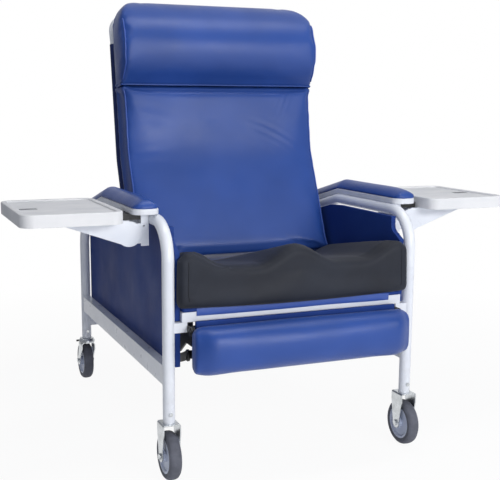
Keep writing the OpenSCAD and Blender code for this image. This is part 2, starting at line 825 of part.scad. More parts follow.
// Side view of a fork: full depth at the top, tapering to a round end at the axle.
module fork_side(trail, top_d, top_z) {
    boss_r = 15;
    shoulder_z = top_z - 26;
    polygon([
        [-top_d / 2, top_z], [-top_d / 2, shoulder_z], [trail - boss_r + 0.4, wheel_r + 3],
        [trail + boss_r - 0.4, wheel_r + 3], [top_d / 2, shoulder_z], [top_d / 2, top_z]
    ]);
    translate([trail, wheel_r]) circle(boss_r);
}

// Front view of a fork: an arch of bent sheet with its outer corners rounded.
module fork_arch(top_z, crown_r) {
    low = wheel_r - 20;
    difference() {
        union() {
            translate([-fork_w / 2, low]) square([fork_w, top_z - crown_r - low]);
            translate([-fork_w / 2 + crown_r, low]) square([fork_w - 2 * crown_r, top_z - low]);
            for (x = [-1, 1]) translate([x * (fork_w / 2 - crown_r), top_z - crown_r]) circle(crown_r);
        }
        translate([-fork_w / 2 + fork_t, low - 1])
            square([fork_w - 2 * fork_t, top_z - crown_r - low + 1]);
        translate([-fork_w / 2 + crown_r, low - 1])
            square([fork_w - 2 * crown_r, top_z - fork_t - low + 1]);
        for (x = [-1, 1]) translate([x * (fork_w / 2 - crown_r), top_z - crown_r])
            circle(crown_r - fork_t);
    }
}

module fork(trail, top_d, top_z, crown_r) {
    difference() {
        intersection() {
            translate([0, 2 * top_d, 0]) rotate([90, 0, 0]) linear_extrude(4 * top_d)
                fork_arch(top_z, crown_r);
            side_view(-fork_w) linear_extrude(2 * fork_w) fork_side(trail, top_d, top_z);
        }
        side_view(-fork_w) translate([trail, wheel_r, 0]) cylinder(h = 2 * fork_w, d = axle_d);
    }
}

module front_fork(side) {
    color(zinc) on_side(side) translate([tube_x, 0, 0]) fork(0, fork_top_d, fork_top_z, 5);
}

swivel_h = 14;
rear_fork_d = 46;
stem_swivel_d = 12;

// Swivel fork: an arch with a round-shouldered crown under a domed bearing housing,
// and two ears behind it for the brake pedal.
module rear_fork(side) {
    top = fork_top_z - swivel_h;
    color(zinc) on_side(side) translate([tube_x, leg_depth, 0]) difference() {
        union() {
            fork(caster_trail, rear_fork_d, top, 12);
            translate([0, 0, top - 1]) rotate_extrude() polygon([
                [0, 0], [21, 0], [22, 2], [22, 6], [19, swivel_h - 3], [16, swivel_h + 0.4],
                [0, swivel_h + 0.4]
            ]);
            for (x = [-pedal_w / 2 - 3.2, pedal_w / 2 + 0.2]) side_view(x) linear_extrude(3)
                round_bar([rear_fork_d / 2 - 6, top - 5], pedal_pivot, 4.8);
        }
        translate([0, 0, top - 10]) cylinder(h = 60, d = stem_swivel_d + 2 * pin_clear);
        side_view(-fork_w) translate([pedal_pivot[0], pedal_pivot[1], 0])
            cylinder(h = 2 * fork_w, d = pedal_pin_d + 2 * pin_clear);
    }
}

module caster_stems() {
    top = 60;
    color(zinc) for (side = [-1, 1]) on_side(side) difference() {
        union() {
            for (y = [0, leg_depth]) translate([tube_x, y, fork_top_z]) cylinder(h = top, r = stem_r);
            translate([tube_x, leg_depth, fork_top_z - swivel_h - 8])
                cylinder(h = swivel_h + 9, d = stem_swivel_d);
            translate([tube_x, leg_depth, fork_top_z - swivel_h - 8])
                cylinder(h = 4, d = stem_swivel_d + 8);
        }
        leg_bolt_holes();
    }
}

// Axle bolt with a head and a nut outside the fork.
module axle(trail) {
    head = 5;
    side_view(-fork_w / 2 - head) translate([trail, wheel_r, 0]) {
        cylinder(h = fork_w + 2 * head, d = axle_d);
        cylinder(h = head, d = 2 * axle_d, $fn = 6);
        translate([0, 0, fork_w + head]) cylinder(h = head, d = 2 * axle_d, $fn = 6);
    }
}

module front_axles() {
    color(zinc) for (side = [-1, 1]) on_side(side) translate([tube_x, 0, 0]) axle(0);
}

module rear_axle(side) {
    color(zinc) on_side(side) translate([tube_x, leg_depth, 0]) axle(caster_trail);
}

// Foot pedal behind the swivel fork, over the tyre. Its pin turns in the fork's ears.
pedal_pivot = [27, 137];
pedal_w = 24;
pedal_pin_d = 4;

module brake_pedal(side) {
    toe = [84, 121];
    t = 4.5;
    color(black_steel) on_side(side) translate([tube_x, leg_depth, 0]) {
        side_view(-pedal_w / 2) linear_extrude(pedal_w) round_bar(pedal_pivot, toe, t / 2 + 1);
        side_view(-19) linear_extrude(38) round_bar(toe - [16, -4.5], toe, t / 2 + 1);
        side_view(-pedal_w / 2 - 3.2) translate([pedal_pivot[0], pedal_pivot[1], 0])
            cylinder(h = pedal_w + 6.4, d = pedal_pin_d);
    }
}

module leg_bolts() {
    color(zinc) for (side = [-1, 1], y = [0, leg_depth]) on_side(side)
        translate([tube_x, y, leg_bolt_z]) rotate([90, 0, 0]) {
            translate([0, 0, tube_r]) cylinder(h = 4, d = 11, $fn = 6);
            cylinder(h = tube_r + 0.5, d = leg_bolt_d);
        }
}

// Puts a wheel part, drawn about the upright axis, on its axle.
module wheel_place(side, y, trail) {
    on_side(side) translate([tube_x, y + trail, wheel_r]) rotate([0, 90, 0]) children();
}

// Tyre with a crowned tread, on the hub's rim.
module tyre() {
    half = wheel_w / 2;
    tread_r = wheel_r;
    rotate_extrude($fn = 72) polygon([
        [hub_d / 2, -half + 1], [tread_r - 7, -half], [tread_r - 2.4, -half + 4], [tread_r - 0.5, -half + 9],
        [tread_r, 0], [tread_r - 0.5, half - 9], [tread_r - 2.4, half - 4], [tread_r - 7, half],
        [hub_d / 2, half - 1]
    ]);
}

module hub() {
    half = wheel_w / 2;
    boss_r = 15;
    boss_half = fork_w / 2 - fork_t - 0.5;
    bore_r = axle_d / 2 + axle_clear;
    rotate_extrude($fn = 72) polygon([
        [bore_r, -boss_half], [boss_r, -boss_half], [boss_r, -half + 5], [hub_d / 2 - 9, -half + 5],
        [hub_d / 2 - 6, -half + 1], [hub_d / 2, -half + 1], [hub_d / 2, half - 1], [hub_d / 2 - 6, half - 1],
        [hub_d / 2 - 9, half - 5], [boss_r, half - 5], [boss_r, boss_half], [bore_r, boss_half]
    ]);
}

// ---------------------------------------------------------------- back

board_t = 12;
cover_t = 1.5;
back_bottom_up = 39;
board_front = -back_tube_d / 2 - cover_clear - cover_t - bond_t - board_t;
pad_rear = board_front - bond_t;
pad_front = pad_rear - back_pad_t;
roll_mid_up = head_seam_up + 110;               // where the head roll stands out furthest
back_cover_top = 745;
handle_from_up = back_cover_top + 8;
handle_lean = 8;
handle_bend_r = 60;
back_bend_r = 150;

// The back is bent: its line runs up from the pivot at one rake, and above the bend
// at another. `up` is a distance along that line, `out` a distance square to it, to
// the rear.
back_bend = back_pivot + back_bend_up * [sin(back_rake), cos(back_rake)];
bend_mid = (back_rake + upper_rake) / 2;
bend_half = (back_rake - upper_rake) / 2;

function rake_at(up) = up < back_bend_up ? back_rake : upper_rake;
function back_at(up) =
    let (rake = rake_at(up), from = up < back_bend_up ? back_pivot : back_bend,
         run = up < back_bend_up ? up : up - back_bend_up)
    from + run * [sin(rake), cos(rake)];
function off_back(up, out) = back_at(up) + out * [cos(rake_at(up)), -sin(rake_at(up))];
function off_bend(out) = back_bend + out / cos(bend_half) * [cos(bend_mid), -sin(bend_mid)];

// Side view of a layer of the back, from one place along it to another.
function back_layer(from, to, front, rear) = [
    off_back(from, front), off_bend(front), off_back(to, front),
    off_back(to, rear), off_bend(rear), off_back(from, rear)
];

// Side view of the board: its rear corner at the bend is planed off, so that it lies
// clear of the tube's round bend.
function board_side(from, to, front, rear) =
    let (planed = back_bend_r * tan(bend_half) + bend_lap) [
        off_back(from, front), off_bend(front), off_back(to, front), off_back(to, rear),
        off_back(back_bend_up + planed, rear), off_back(back_bend_up - planed, rear), off_back(from, rear)
    ];

// Puts a part drawn upright, with its origin on the back's line, at its place there.
module on_back(up) {
    from_front_legs() translate([0, back_at(up)[0], back_at(up)[1]]) rotate([-rake_at(up), 0, 0]) children();
}

// Extrudes a front view outline from y = front to y = rear.
module front_view(front, rear) {
    translate([0, rear, 0]) rotate([90, 0, 0]) linear_extrude(rear - front) children();
}

// Everything within the back's round upper corners, as seen from the front.
module within_corners(half, top_up, r) {
    top = top_up - back_bend_up;
    on_back(back_bend_up) front_view(-back_top_up, back_top_up) {
        translate([-half, -back_top_up]) square([2 * half, back_top_up + top - r]);
        translate([-half + r, -back_top_up]) square([2 * (half - r), back_top_up + top]);
        for (x = [-half + r, half - r]) translate([x, top - r]) circle(r);
    }
}

module back_board() {
    inset = 8;
    half = back_half_w - inset;
    color(plywood) intersection() {
        from_front_legs() side_view(-half) linear_extrude(2 * half)
            polygon(board_side(back_bottom_up, back_top_up - 2 * inset, board_front, board_front + board_t));
        within_corners(half, back_top_up - 2 * inset, back_corner_r - inset);
    }
}

module back_cushion() {
    color(royal_vinyl) from_front_legs() side_view(-back_half_w) linear_extrude(2 * back_half_w)
        polygon(back_layer(back_bottom_up, head_seam_up, pad_front, pad_rear));
}

// Reach of the head roll in front of the board: it swells out of the seam along an
// arc and is drawn over the top along an ellipse.
function roll_reach(up) =
    let (swell = roll_mid_up - head_seam_up,
         arc_r = (pow(swell, 2) + pow(head_roll_proud, 2)) / (2 * head_roll_proud),
         crown = (up - roll_mid_up) / (back_top_up - roll_mid_up),
         full = back_pad_t + head_roll_proud)
    up < roll_mid_up ? full - arc_r + sqrt(pow(arc_r, 2) - pow(roll_mid_up - up, 2))
                     : full * sqrt(max(0, 1 - pow(crown, 2)));

module head_roll() {
    steps = 12;
    crown = back_top_up - roll_mid_up;
    color(royal_vinyl) intersection() {
        from_front_legs() side_view(-back_half_w) linear_extrude(2 * back_half_w) polygon(concat(
            [for (i = [0 : steps - 1]) let (up = between(head_seam_up, roll_mid_up, i / steps))
                off_back(up, pad_rear - roll_reach(up))],
            [for (i = [0 : steps]) let (up = roll_mid_up + crown * sin(90 * i / steps))
                off_back(up, pad_rear - roll_reach(up))],
            [off_back(head_seam_up, pad_rear)]
        ));
        within_corners(back_half_w, back_top_up, back_corner_r);
    }
}

// Vinyl cover behind the frame, wrapped round the outer side of each upright.
module back_cover() {
    inner = back_tube_d / 2 + cover_clear;
    path = [back_at(back_bottom_up), back_bend, back_at(back_cover_top)];
    tuck = 3;
    color(navy_vinyl) {
        from_front_legs() side_view(-back_tube_x - tuck) linear_extrude(2 * (back_tube_x + tuck))
            polygon(back_layer(back_bottom_up, back_cover_top, inner + 0.2, inner + cover_t - 0.2));
        for (side = [-1, 1]) on_side(side) difference() {
            side_view(back_tube_x) difference() {
                bent_bar(path, [back_bend_r], 2 * (inner + cover_t));
                bent_bar(path, [back_bend_r], 2 * inner, 1);
            }
            translate([back_tube_x - 2 * back_tube_d, back_pivot_back - back_top_up, back_pivot_z])
                cube([2 * back_tube_d, 2 * back_top_up, back_top_up]);
        }
    }
}

// Tube frame of the back: its two uprights bend at the middle and join at the top
// in a bar to push the chair by.
module back_frame() {
    bar_reach = back_tube_x - back_tube_d / 2 + tube_wall / 2;
    bar = [4, 30];
    color(white_enamel) difference() {
        union() {
            back_tubes(back_tube_d, 0);
            for (up = [70, 300, 560]) on_back(up)
                translate([-bar_reach, -bar[0] / 2, 0]) cube([2 * bar_reach, bar[0], bar[1]]);
        }
        back_tubes(back_tube_d - 2 * tube_wall, 1);
        on_back(0) side_view(-back_tube_x * 2) cylinder(h = 4 * back_tube_x, d = pin_d + 2 * pin_clear);
    }
}

// The uprights and the bow of the handle, as solid bars.
module back_tubes(d, over) {
    lean_run = 12;
    bow_r = 42;
    handle_up = 74;
    lean = upper_rake + handle_lean;
    foot = back_at(0) - 14 * [sin(back_rake), cos(back_rake)];
    from = back_at(handle_from_up);
    from_front_legs() for (x = [-back_tube_x, back_tube_x]) side_view(x) bent_bar(
        [foot, back_bend, from, from + lean_run * [sin(lean), cos(lean)]],
        [back_bend_r, handle_bend_r], d, over);
    from_front_legs() translate([0, from[0], from[1]]) rotate([90 - lean, 0, 0]) bent_bar(
        [[-back_tube_x, lean_run - 2], [-back_tube_x, handle_up],
            [back_tube_x, handle_up], [back_tube_x, lean_run - 2]],
        [bow_r, bow_r], d + 2 * bend_neck, over);
}

// Crank plate welded inside the foot of each upright. The drive link's pin is on it.
module back_lever(side) {
    color(black_steel) on_side(side) {
        side_view(lever_x) difference() {
            linear_extrude(plate_t) union() {
                round_bar(back_pivot, lever_pin, 14);
                translate(back_pivot) rotate([0, 0, -back_rake]) translate([-11, 0]) square([22, 70]);
            }
            translate([back_pivot[0], back_pivot[1], -1])
                cylinder(h = plate_t + 2, d = pin_d + 2 * pin_clear);
        }
        side_view(lever_x + plate_t) translate([lever_pin[0], lever_pin[1], 0])
            cylinder(h = plate_t + 2 * side_clear, d = pin_d);
    }
}

// ---------------------------------------------------------------- legrest

legrest_rear = -legrest_front + legrest_pad_t;   // rear face of the pad
legrest_board_t = 12;
legrest_board_rise = 25;                         // of the board's top above the pivot
eye_r = 12;                                      // of the plates round the legrest's stud

module legrest_pad() {
    r = 30;
    color(royal_vinyl) from_front_legs() side_view(-legrest_half_w) linear_extrude(2 * legrest_half_w)
        translate([-legrest_front, legrest_z]) union() {
            round_rect([legrest_pad_t, legrest_h], r);
            translate([legrest_pad_t - r, 8]) square([r, legrest_h - 16]);
        }
}

module legrest_board() {
    low = legrest_z + 10;
    color(plywood) from_front_legs() translate([-legrest_half_w + 4, legrest_rear, low])
        cube([2 * (legrest_half_w - 4), legrest_board_t, legrest_pivot_z + legrest_board_rise - low]);
}

// Bent arm: an eye beside the pad's end, a web screwed to the board and a tail
// behind the board that carries the crank pin.
module legrest_arm(side) {
    web_y = legrest_rear + legrest_board_t;
    web_z = legrest_z + 34;
    web_top_z = legrest_pivot_z + eye_r;
    web_arm_h = 35;
    tail_w = 14;
    tail_r = 11;
    color(black_steel) on_side(side) {
        side_view(arm_plate_x) difference() {
            linear_extrude(plate_t) {
                translate(legrest_pivot) circle(eye_r);
                translate([legrest_pivot[0], legrest_pivot[1] - eye_r])
                    square([web_y + plate_t - legrest_pivot[0], 2 * eye_r]);
            }
            translate([legrest_pivot[0], legrest_pivot[1], -1])
                cylinder(h = plate_t + 2, d = pin_d + 2 * pin_clear);
        }
        translate([tail_x, web_y, web_top_z - web_arm_h])
            cube([arm_plate_x + plate_t - tail_x, plate_t, web_arm_h]);
        translate([tail_x - tail_w, web_y, web_z])
            cube([plate_t + tail_w, plate_t, web_top_z - web_z]);
        side_view(tail_x) linear_extrude(plate_t) difference() {
            round_bar([web_y + plate_t / 2, web_z + tail_r + 1], crank_pin, tail_r);
            translate([web_y - 2 * tail_r, web_z - 2 * tail_r]) square([2 * tail_r, 6 * tail_r]);
        }
        side_view(tail_x + plate_t - 1) translate([crank_pin[0], crank_pin[1], 0])
            cylinder(h = plate_t + 1 + 2 * side_clear, d = pin_d);
    }
}

// ---------------------------------------------------------------- drive link

// Bowed strap from the back's crank to the legrest's. Its front hole is a slot.
module drive_link(side) {
    link_eye_r = 13;
    bow_r = (pow(link_len / 2, 2) + pow(link_bow, 2)) / (2 * link_bow);
    slot_r = pin_d / 2 + 1.2;
    color(black_steel) on_side(side) side_view(link_x) translate([crank_pin[0], crank_pin[1], 0])
        rotate([0, 0, link_angle]) difference() {
            linear_extrude(plate_t) {
                intersection() {
                    translate([link_len / 2, bow_r - link_bow]) difference() {
                        circle(bow_r + link_w / 2);
                        circle(bow_r - link_w / 2);
                    }
                    translate([0, -2 * link_bow]) square([link_len, 2 * link_bow + link_eye_r]);
                }
                translate([link_len, 0]) circle(link_eye_r);
                round_bar([0, -slot_play / 2], [0, 1], link_eye_r);
            }
            translate([link_len, 0, -1]) cylinder(h = plate_t + 2, d = pin_d + 2 * pin_clear);
            translate([0, 0, -1]) linear_extrude(plate_t + 2)
                round_bar([0, 0.5], [0, -slot_play], slot_r);
        }
}

// ---------------------------------------------------------------- nodes

module side_frame_left() { side_frame(-1); }
module side_frame_right() { side_frame(1); }
module side_rail_left() { side_rail(-1); }
module side_rail_right() { side_rail(1); }
module side_panel_left() { side_panel(-1); }
module side_panel_right() { side_panel(1); }
module arm_base_left() { arm_base(-1); }
module arm_base_right() { arm_base(1); }
module arm_pad_left() { arm_pad(-1); }
module arm_pad_right() { arm_pad(1); }
module tray_bracket_left() { tray_bracket(-1); }
module tray_bracket_right() { tray_bracket(1); }
module recliner_plate_left() { recliner_plate(-1); }
module recliner_plate_right() { recliner_plate(1); }
module front_fork_left() { front_fork(-1); }
module front_fork_right() { front_fork(1); }
module back_lever_left() { back_lever(-1); }
module back_lever_right() { back_lever(1); }
module recliner_rail_left() { recliner_rail(-1); }
module recliner_rail_right() { recliner_rail(1); }
module legrest_arm_left() { legrest_arm(-1); }
module legrest_arm_right() { legrest_arm(1); }
module drive_link_left() { drive_link(-1); }
module drive_link_right() { drive_link(1); }
module tray_left() { tray(-1); }
module tray_right() { tray(1); }
module tray_arm_left() { tray_arm(-1); }
module tray_arm_right() { tray_arm(1); }
module rear_fork_left() { rear_fork(-1); }
module rear_fork_right() { rear_fork(1); }
module rear_axle_left() { rear_axle(-1); }
module rear_axle_right() { rear_axle(1); }
module brake_pedal_left() { brake_pedal(-1); }
module brake_pedal_right() { brake_pedal(1); }
module tyre_front_left() { color(tyre_grey) wheel_place(-1, 0, 0) tyre(); }
module tyre_front_right() { color(tyre_grey) wheel_place(1, 0, 0) tyre(); }
module tyre_rear_left() { color(tyre_grey) wheel_place(-1, leg_depth, caster_trail) tyre(); }
module tyre_rear_right() { color(tyre_grey) wheel_place(1, leg_depth, caster_trail) tyre(); }
module hub_front_left() { color(hub_grey) wheel_place(-1, 0, 0) hub(); }
module hub_front_right() { color(hub_grey) wheel_place(1, 0, 0) hub(); }
module hub_rear_left() { color(hub_grey) wheel_place(-1, leg_depth, caster_trail) hub(); }
module hub_rear_right() { color(hub_grey) wheel_place(1, leg_depth, caster_trail) hub(); }

side_frame_left();
side_frame_right();
side_rail_left();
side_rail_right();
rear_cross_rail();
side_panel_left();
side_panel_right();
arm_base_left();
arm_base_right();
arm_pad_left();
arm_pad_right();
tray_bracket_left();
tray_bracket_right();
tray_stops();
seat_frame();
seat_end_blocks();
seat_deck();
seat_cushion();
recliner_rail_left();
recliner_rail_right();
recliner_plate_left();
recliner_plate_right();
leg_stubs();
legrest_hinges();
front_fork_left();
front_fork_right();
front_axles();
caster_stems();
leg_bolts();
back_frame();
back_board();
back_cushion();
head_roll();
back_cover();
back_lever_left();
back_lever_right();
legrest_board();
legrest_pad();
legrest_arm_left();
legrest_arm_right();
drive_link_left();
drive_link_right();
tray_left();
tray_right();
tray_arm_left();
tray_arm_right();
rear_fork_left();
rear_fork_right();
rear_axle_left();
rear_axle_right();
brake_pedal_left();
brake_pedal_right();
tyre_front_left();
tyre_front_right();
tyre_rear_left();
tyre_rear_right();
hub_front_left();
hub_front_right();
hub_rear_left();
hub_rear_right();
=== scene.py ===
import json
import math

import bmesh
import bpy
import numpy as np
from mathutils import Matrix, Vector
from mathutils.bvhtree import BVHTree
from mathutils.kdtree import KDTree


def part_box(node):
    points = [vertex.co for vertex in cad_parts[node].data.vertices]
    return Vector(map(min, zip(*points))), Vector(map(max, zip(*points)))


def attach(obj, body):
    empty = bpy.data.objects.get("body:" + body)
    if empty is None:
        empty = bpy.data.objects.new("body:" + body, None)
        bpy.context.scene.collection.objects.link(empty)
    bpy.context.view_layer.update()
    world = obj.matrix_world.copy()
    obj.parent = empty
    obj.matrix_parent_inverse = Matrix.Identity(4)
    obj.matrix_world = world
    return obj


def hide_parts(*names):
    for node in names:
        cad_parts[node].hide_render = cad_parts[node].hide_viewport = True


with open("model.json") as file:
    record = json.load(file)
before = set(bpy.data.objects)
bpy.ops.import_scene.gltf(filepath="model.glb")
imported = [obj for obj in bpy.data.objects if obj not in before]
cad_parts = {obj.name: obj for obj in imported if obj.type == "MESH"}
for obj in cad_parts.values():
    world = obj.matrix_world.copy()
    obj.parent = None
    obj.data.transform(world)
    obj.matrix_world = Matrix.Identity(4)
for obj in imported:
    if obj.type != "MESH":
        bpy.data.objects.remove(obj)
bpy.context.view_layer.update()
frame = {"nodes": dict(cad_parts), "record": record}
NODES = frame["nodes"]
SIDES = (("left", -1), ("right", 1))
scene = bpy.context.scene


def low(node):
    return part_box(node)[0]


def high(node):
    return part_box(node)[1]


# Main places of the chair, from the frame.
tube_r = (high("side_frame_right").x - low("side_frame_right").x) / 2
leg_x = high("side_frame_right").x - tube_r
front_y = low("side_frame_right").y + tube_r
rear_y = high("side_frame_right").y - tube_r
leg_foot = low("side_frame_right").z
seat_top = high("seat_deck").z

# ---------------------------------------------------------------- camera and light

view = bpy.data.cameras.new("view")
view.sensor_width = 36
view.lens = 65.44
view.shift_x = 0.0426
view.shift_y = 0.0351
camera = bpy.data.objects.new("view", view)
camera.location = (-1.0428, -2.5869, 0.9625)
camera.rotation_euler = [math.radians(a) for a in (80.344, -0.234, -21.829)]
scene.collection.objects.link(camera)
scene.camera = camera
scene.view_settings.view_transform = "Standard"


LAMP_AIM = Vector((0, 0, 0.6))


def softbox(name, at, size, watts, colour=(1, 1, 1)):
    lamp = bpy.data.lights.new(name, "AREA")
    lamp.shape = "RECTANGLE"
    lamp.size, lamp.size_y = size
    lamp.energy = watts
    lamp.color = colour
    ob = bpy.data.objects.new(name, lamp)
    ob.location = at
    ob.rotation_euler = (LAMP_AIM - Vector(at)).to_track_quat("-Z", "Y").to_euler()
    scene.collection.objects.link(ob)


softbox("key", (0.75, -3.2, 1.6), (1.8, 0.6), 43)
softbox("fill", (-0.2, -3.1, 0.7), (2.2, 0.5), 18, (0.97, 0.98, 1))
softbox("overhead", (0.1, -0.6, 2.9), (2.4, 0.4), 24)


# ---------------------------------------------------------------- node helpers


def rgb(code):
    """Linear colour of an sRGB hex code."""
    channels = [int(code[i : i + 2], 16) / 255 for i in (0, 2, 4)]
    return [c / 12.92 if c <= 0.04045 else ((c + 0.055) / 1.055) ** 2.4 for c in channels] + [1.0]


def add(tree, kind, settings=None, out=0, **inputs):
    """Adds a shader node and gives its output `out`. Each input is a value or the
    output that feeds it, and goes by its name, or by its number as in _2."""
    node = tree.nodes.new("ShaderNode" + kind)
    for key, value in (settings or {}).items():
        setattr(node, key, value)
    for key, value in inputs.items():
        socket = node.inputs[int(key[1:])] if key[0] == "_" else node.inputs[key.replace("_", " ")]
        if isinstance(value, bpy.types.NodeSocket):
            tree.links.new(value, socket)
        else:
            socket.default_value = value
    return node.outputs[out] if len(node.outputs) else None


def new_tree(name):
    mat = bpy.data.materials.new(name)
    mat.use_nodes = True
    mat.node_tree.nodes.clear()
    tree = mat.node_tree
    place = add(tree, "TexCoord", out="Object")
    return mat, tree, place


def surface(tree, mat, colour, rough, normal, metallic=0.0, **fixed):
    """Ends a material in a principled shader. The fixed values go on its own sockets."""
    shader = add(tree, "BsdfPrincipled", Base_Color=colour, Roughness=rough, Metallic=metallic, Normal=normal,
                 **fixed)
    add(tree, "OutputMaterial", Surface=shader)
    mat.diffuse_color = rgb("808080")
    return mat


# ---------------------------------------------------------------- materials

# Object coordinates are in metres, so a noise or cell scale of 1000 makes 1 mm marks.
# A wave of scale n repeats every 314 / n mm. Bump distances are the real heights.
RGBA = {"data_type": "RGBA"}
NOISE = 0.55


def vinyl(name, deep, pale, rough=(0.3, 0.42), grain=0.00012, shine=0.5):
    """Embossed upholstery vinyl: a leather-like grain, soft dents from the foam below
    and a patchy sheen where hands and clothes have polished it. The grain's cells are
    1.6 mm, the coarse end of the real range, so that they show."""
    mat, tree, place = new_tree(name)
    patches = add(tree, "TexNoise", Vector=place, Scale=5.0, Detail=2.0, Roughness=NOISE)
    fine = add(tree, "TexNoise", Vector=place, Scale=420.0, Detail=2.0, Roughness=NOISE)
    share = add(tree, "MapRange", _0=patches, _1=0.35, _2=0.65, _3=0, _4=1)
    colour = add(tree, "Mix", RGBA, 2, _0=share, _6=rgb(deep), _7=rgb(pale))
    share = add(tree, "MapRange", _0=fine, _1=0.3, _2=0.8, _3=0.0, _4=0.10)
    colour = add(tree, "Mix", RGBA, 2, _0=share, _6=colour, _7=rgb(deep))
    cells = add(tree, "TexVoronoi", {"feature": "DISTANCE_TO_EDGE"}, "Distance", Vector=place, Scale=620.0,
                Randomness=0.9)
    pebbles = add(tree, "MapRange", _0=cells, _1=0.0, _2=0.16, _3=0.0, _4=1.0)
    foam = add(tree, "TexNoise", Vector=place, Scale=13.0, Detail=1.5, Roughness=NOISE)
    dents = add(tree, "Bump", Height=foam, Distance=0.0016, Strength=0.5)
    normal = add(tree, "Bump", Height=pebbles, Distance=grain, Strength=0.5, Normal=dents)
    rubbed = add(tree, "TexNoise", Vector=place, Scale=9.0, Detail=3.0, Roughness=NOISE)
    sheen = add(tree, "MapRange", _0=rubbed, _1=0.3, _2=0.7, _3=rough[0], _4=rough[1])
    return surface(tree, mat, colour, sheen, normal, Specular_IOR_Level=shine)


def enamel(name, deep, pale, rough=(0.26, 0.38)):
    """White powder coat: faint orange peel of 3 mm waves, a little dust towards the
    floor and slightly uneven gloss."""
    mat, tree, place = new_tree(name)
    patches = add(tree, "TexNoise", Vector=place, Scale=7.0, Detail=3.0, Roughness=NOISE)
    share = add(tree, "MapRange", _0=patches, _1=0.3, _2=0.7, _3=0, _4=1)
    colour = add(tree, "Mix", RGBA, 2, _0=share, _6=rgb(deep), _7=rgb(pale))
    height = add(tree, "SeparateXYZ", out="Z", Vector=place)
    low_down = add(tree, "MapRange", _0=height, _1=0.13, _2=0.32, _3=0.5, _4=0.0)
    motes = add(tree, "TexNoise", Vector=place, Scale=60.0, Detail=4.0, Roughness=NOISE)
    motes = add(tree, "MapRange", _0=motes, _1=0.4, _2=0.7, _3=0.0, _4=0.6)
    dust = add(tree, "Math", {"operation": "MULTIPLY"}, _0=low_down, _1=motes)
    colour = add(tree, "Mix", RGBA, 2, _0=dust, _6=colour, _7=rgb("B9B8B4"))
    edges = add(tree, "Bevel", {"samples": 4}, Radius=0.0016)
    peel = add(tree, "TexNoise", Vector=place, Scale=330.0, Detail=2.0, Roughness=NOISE)
    normal = add(tree, "Bump", Height=peel, Distance=0.00009, Strength=0.6, Normal=edges)
    flow = add(tree, "TexNoise", Vector=place, Scale=30.0, Detail=3.0, Roughness=NOISE)
    gloss = add(tree, "MapRange", _0=flow, _1=0.3, _2=0.7, _3=rough[0], _4=rough[1])
    return surface(tree, mat, colour, gloss, normal, Coat_Weight=0.25, Coat_Roughness=0.12)


def plated(name, deep, pale, rough=(0.22, 0.36)):
    """Bright zinc plate: cloudy patches, drawing marks 4 mm apart and softened edges.
    Real marks are finer, and these are as coarse as they need to be to show."""
    mat, tree, place = new_tree(name)
    clouds = add(tree, "TexNoise", Vector=place, Scale=55.0, Detail=4.0, Roughness=NOISE)
    share = add(tree, "MapRange", _0=clouds, _1=0.3, _2=0.7, _3=0, _4=1)
    colour = add(tree, "Mix", RGBA, 2, _0=share, _6=rgb(deep), _7=rgb(pale))
    drawn = add(tree, "Mapping", Vector=place, Scale=(1, 1, 0.12))
    marks = add(tree, "TexNoise", Vector=drawn, Scale=240.0, Detail=2.0, Roughness=NOISE)
    edges = add(tree, "Bevel", {"samples": 4}, Radius=0.001)
    normal = add(tree, "Bump", Height=marks, Distance=0.00005, Strength=0.5, Normal=edges)
    gloss = add(tree, "MapRange", _0=marks, _1=0.3, _2=0.7, _3=rough[0], _4=rough[1])
    return surface(tree, mat, colour, gloss, normal, 1.0)


def painted_steel(name, deep, pale, rough=(0.36, 0.52)):
    """Black painted mechanism steel: satin, with scuffs along the plates."""
    mat, tree, place = new_tree(name)
    stroked = add(tree, "Mapping", Vector=place, Scale=(1, 0.25, 1))
    scuffs = add(tree, "TexNoise", Vector=stroked, Scale=90.0, Detail=5.0, Roughness=NOISE)
    share = add(tree, "MapRange", _0=scuffs, _1=0.52, _2=0.72, _3=0, _4=1)
    colour = add(tree, "Mix", RGBA, 2, _0=share, _6=rgb(deep), _7=rgb(pale))
    edges = add(tree, "Bevel", {"samples": 4}, Radius=0.001)
    film = add(tree, "TexNoise", Vector=place, Scale=500.0, Detail=2.0, Roughness=NOISE)
    normal = add(tree, "Bump", Height=film, Distance=0.00008, Strength=0.5, Normal=edges)
    gloss = add(tree, "MapRange", _0=scuffs, _1=0.3, _2=0.7, _3=rough[0], _4=rough[1])
    return surface(tree, mat, colour, gloss, normal)


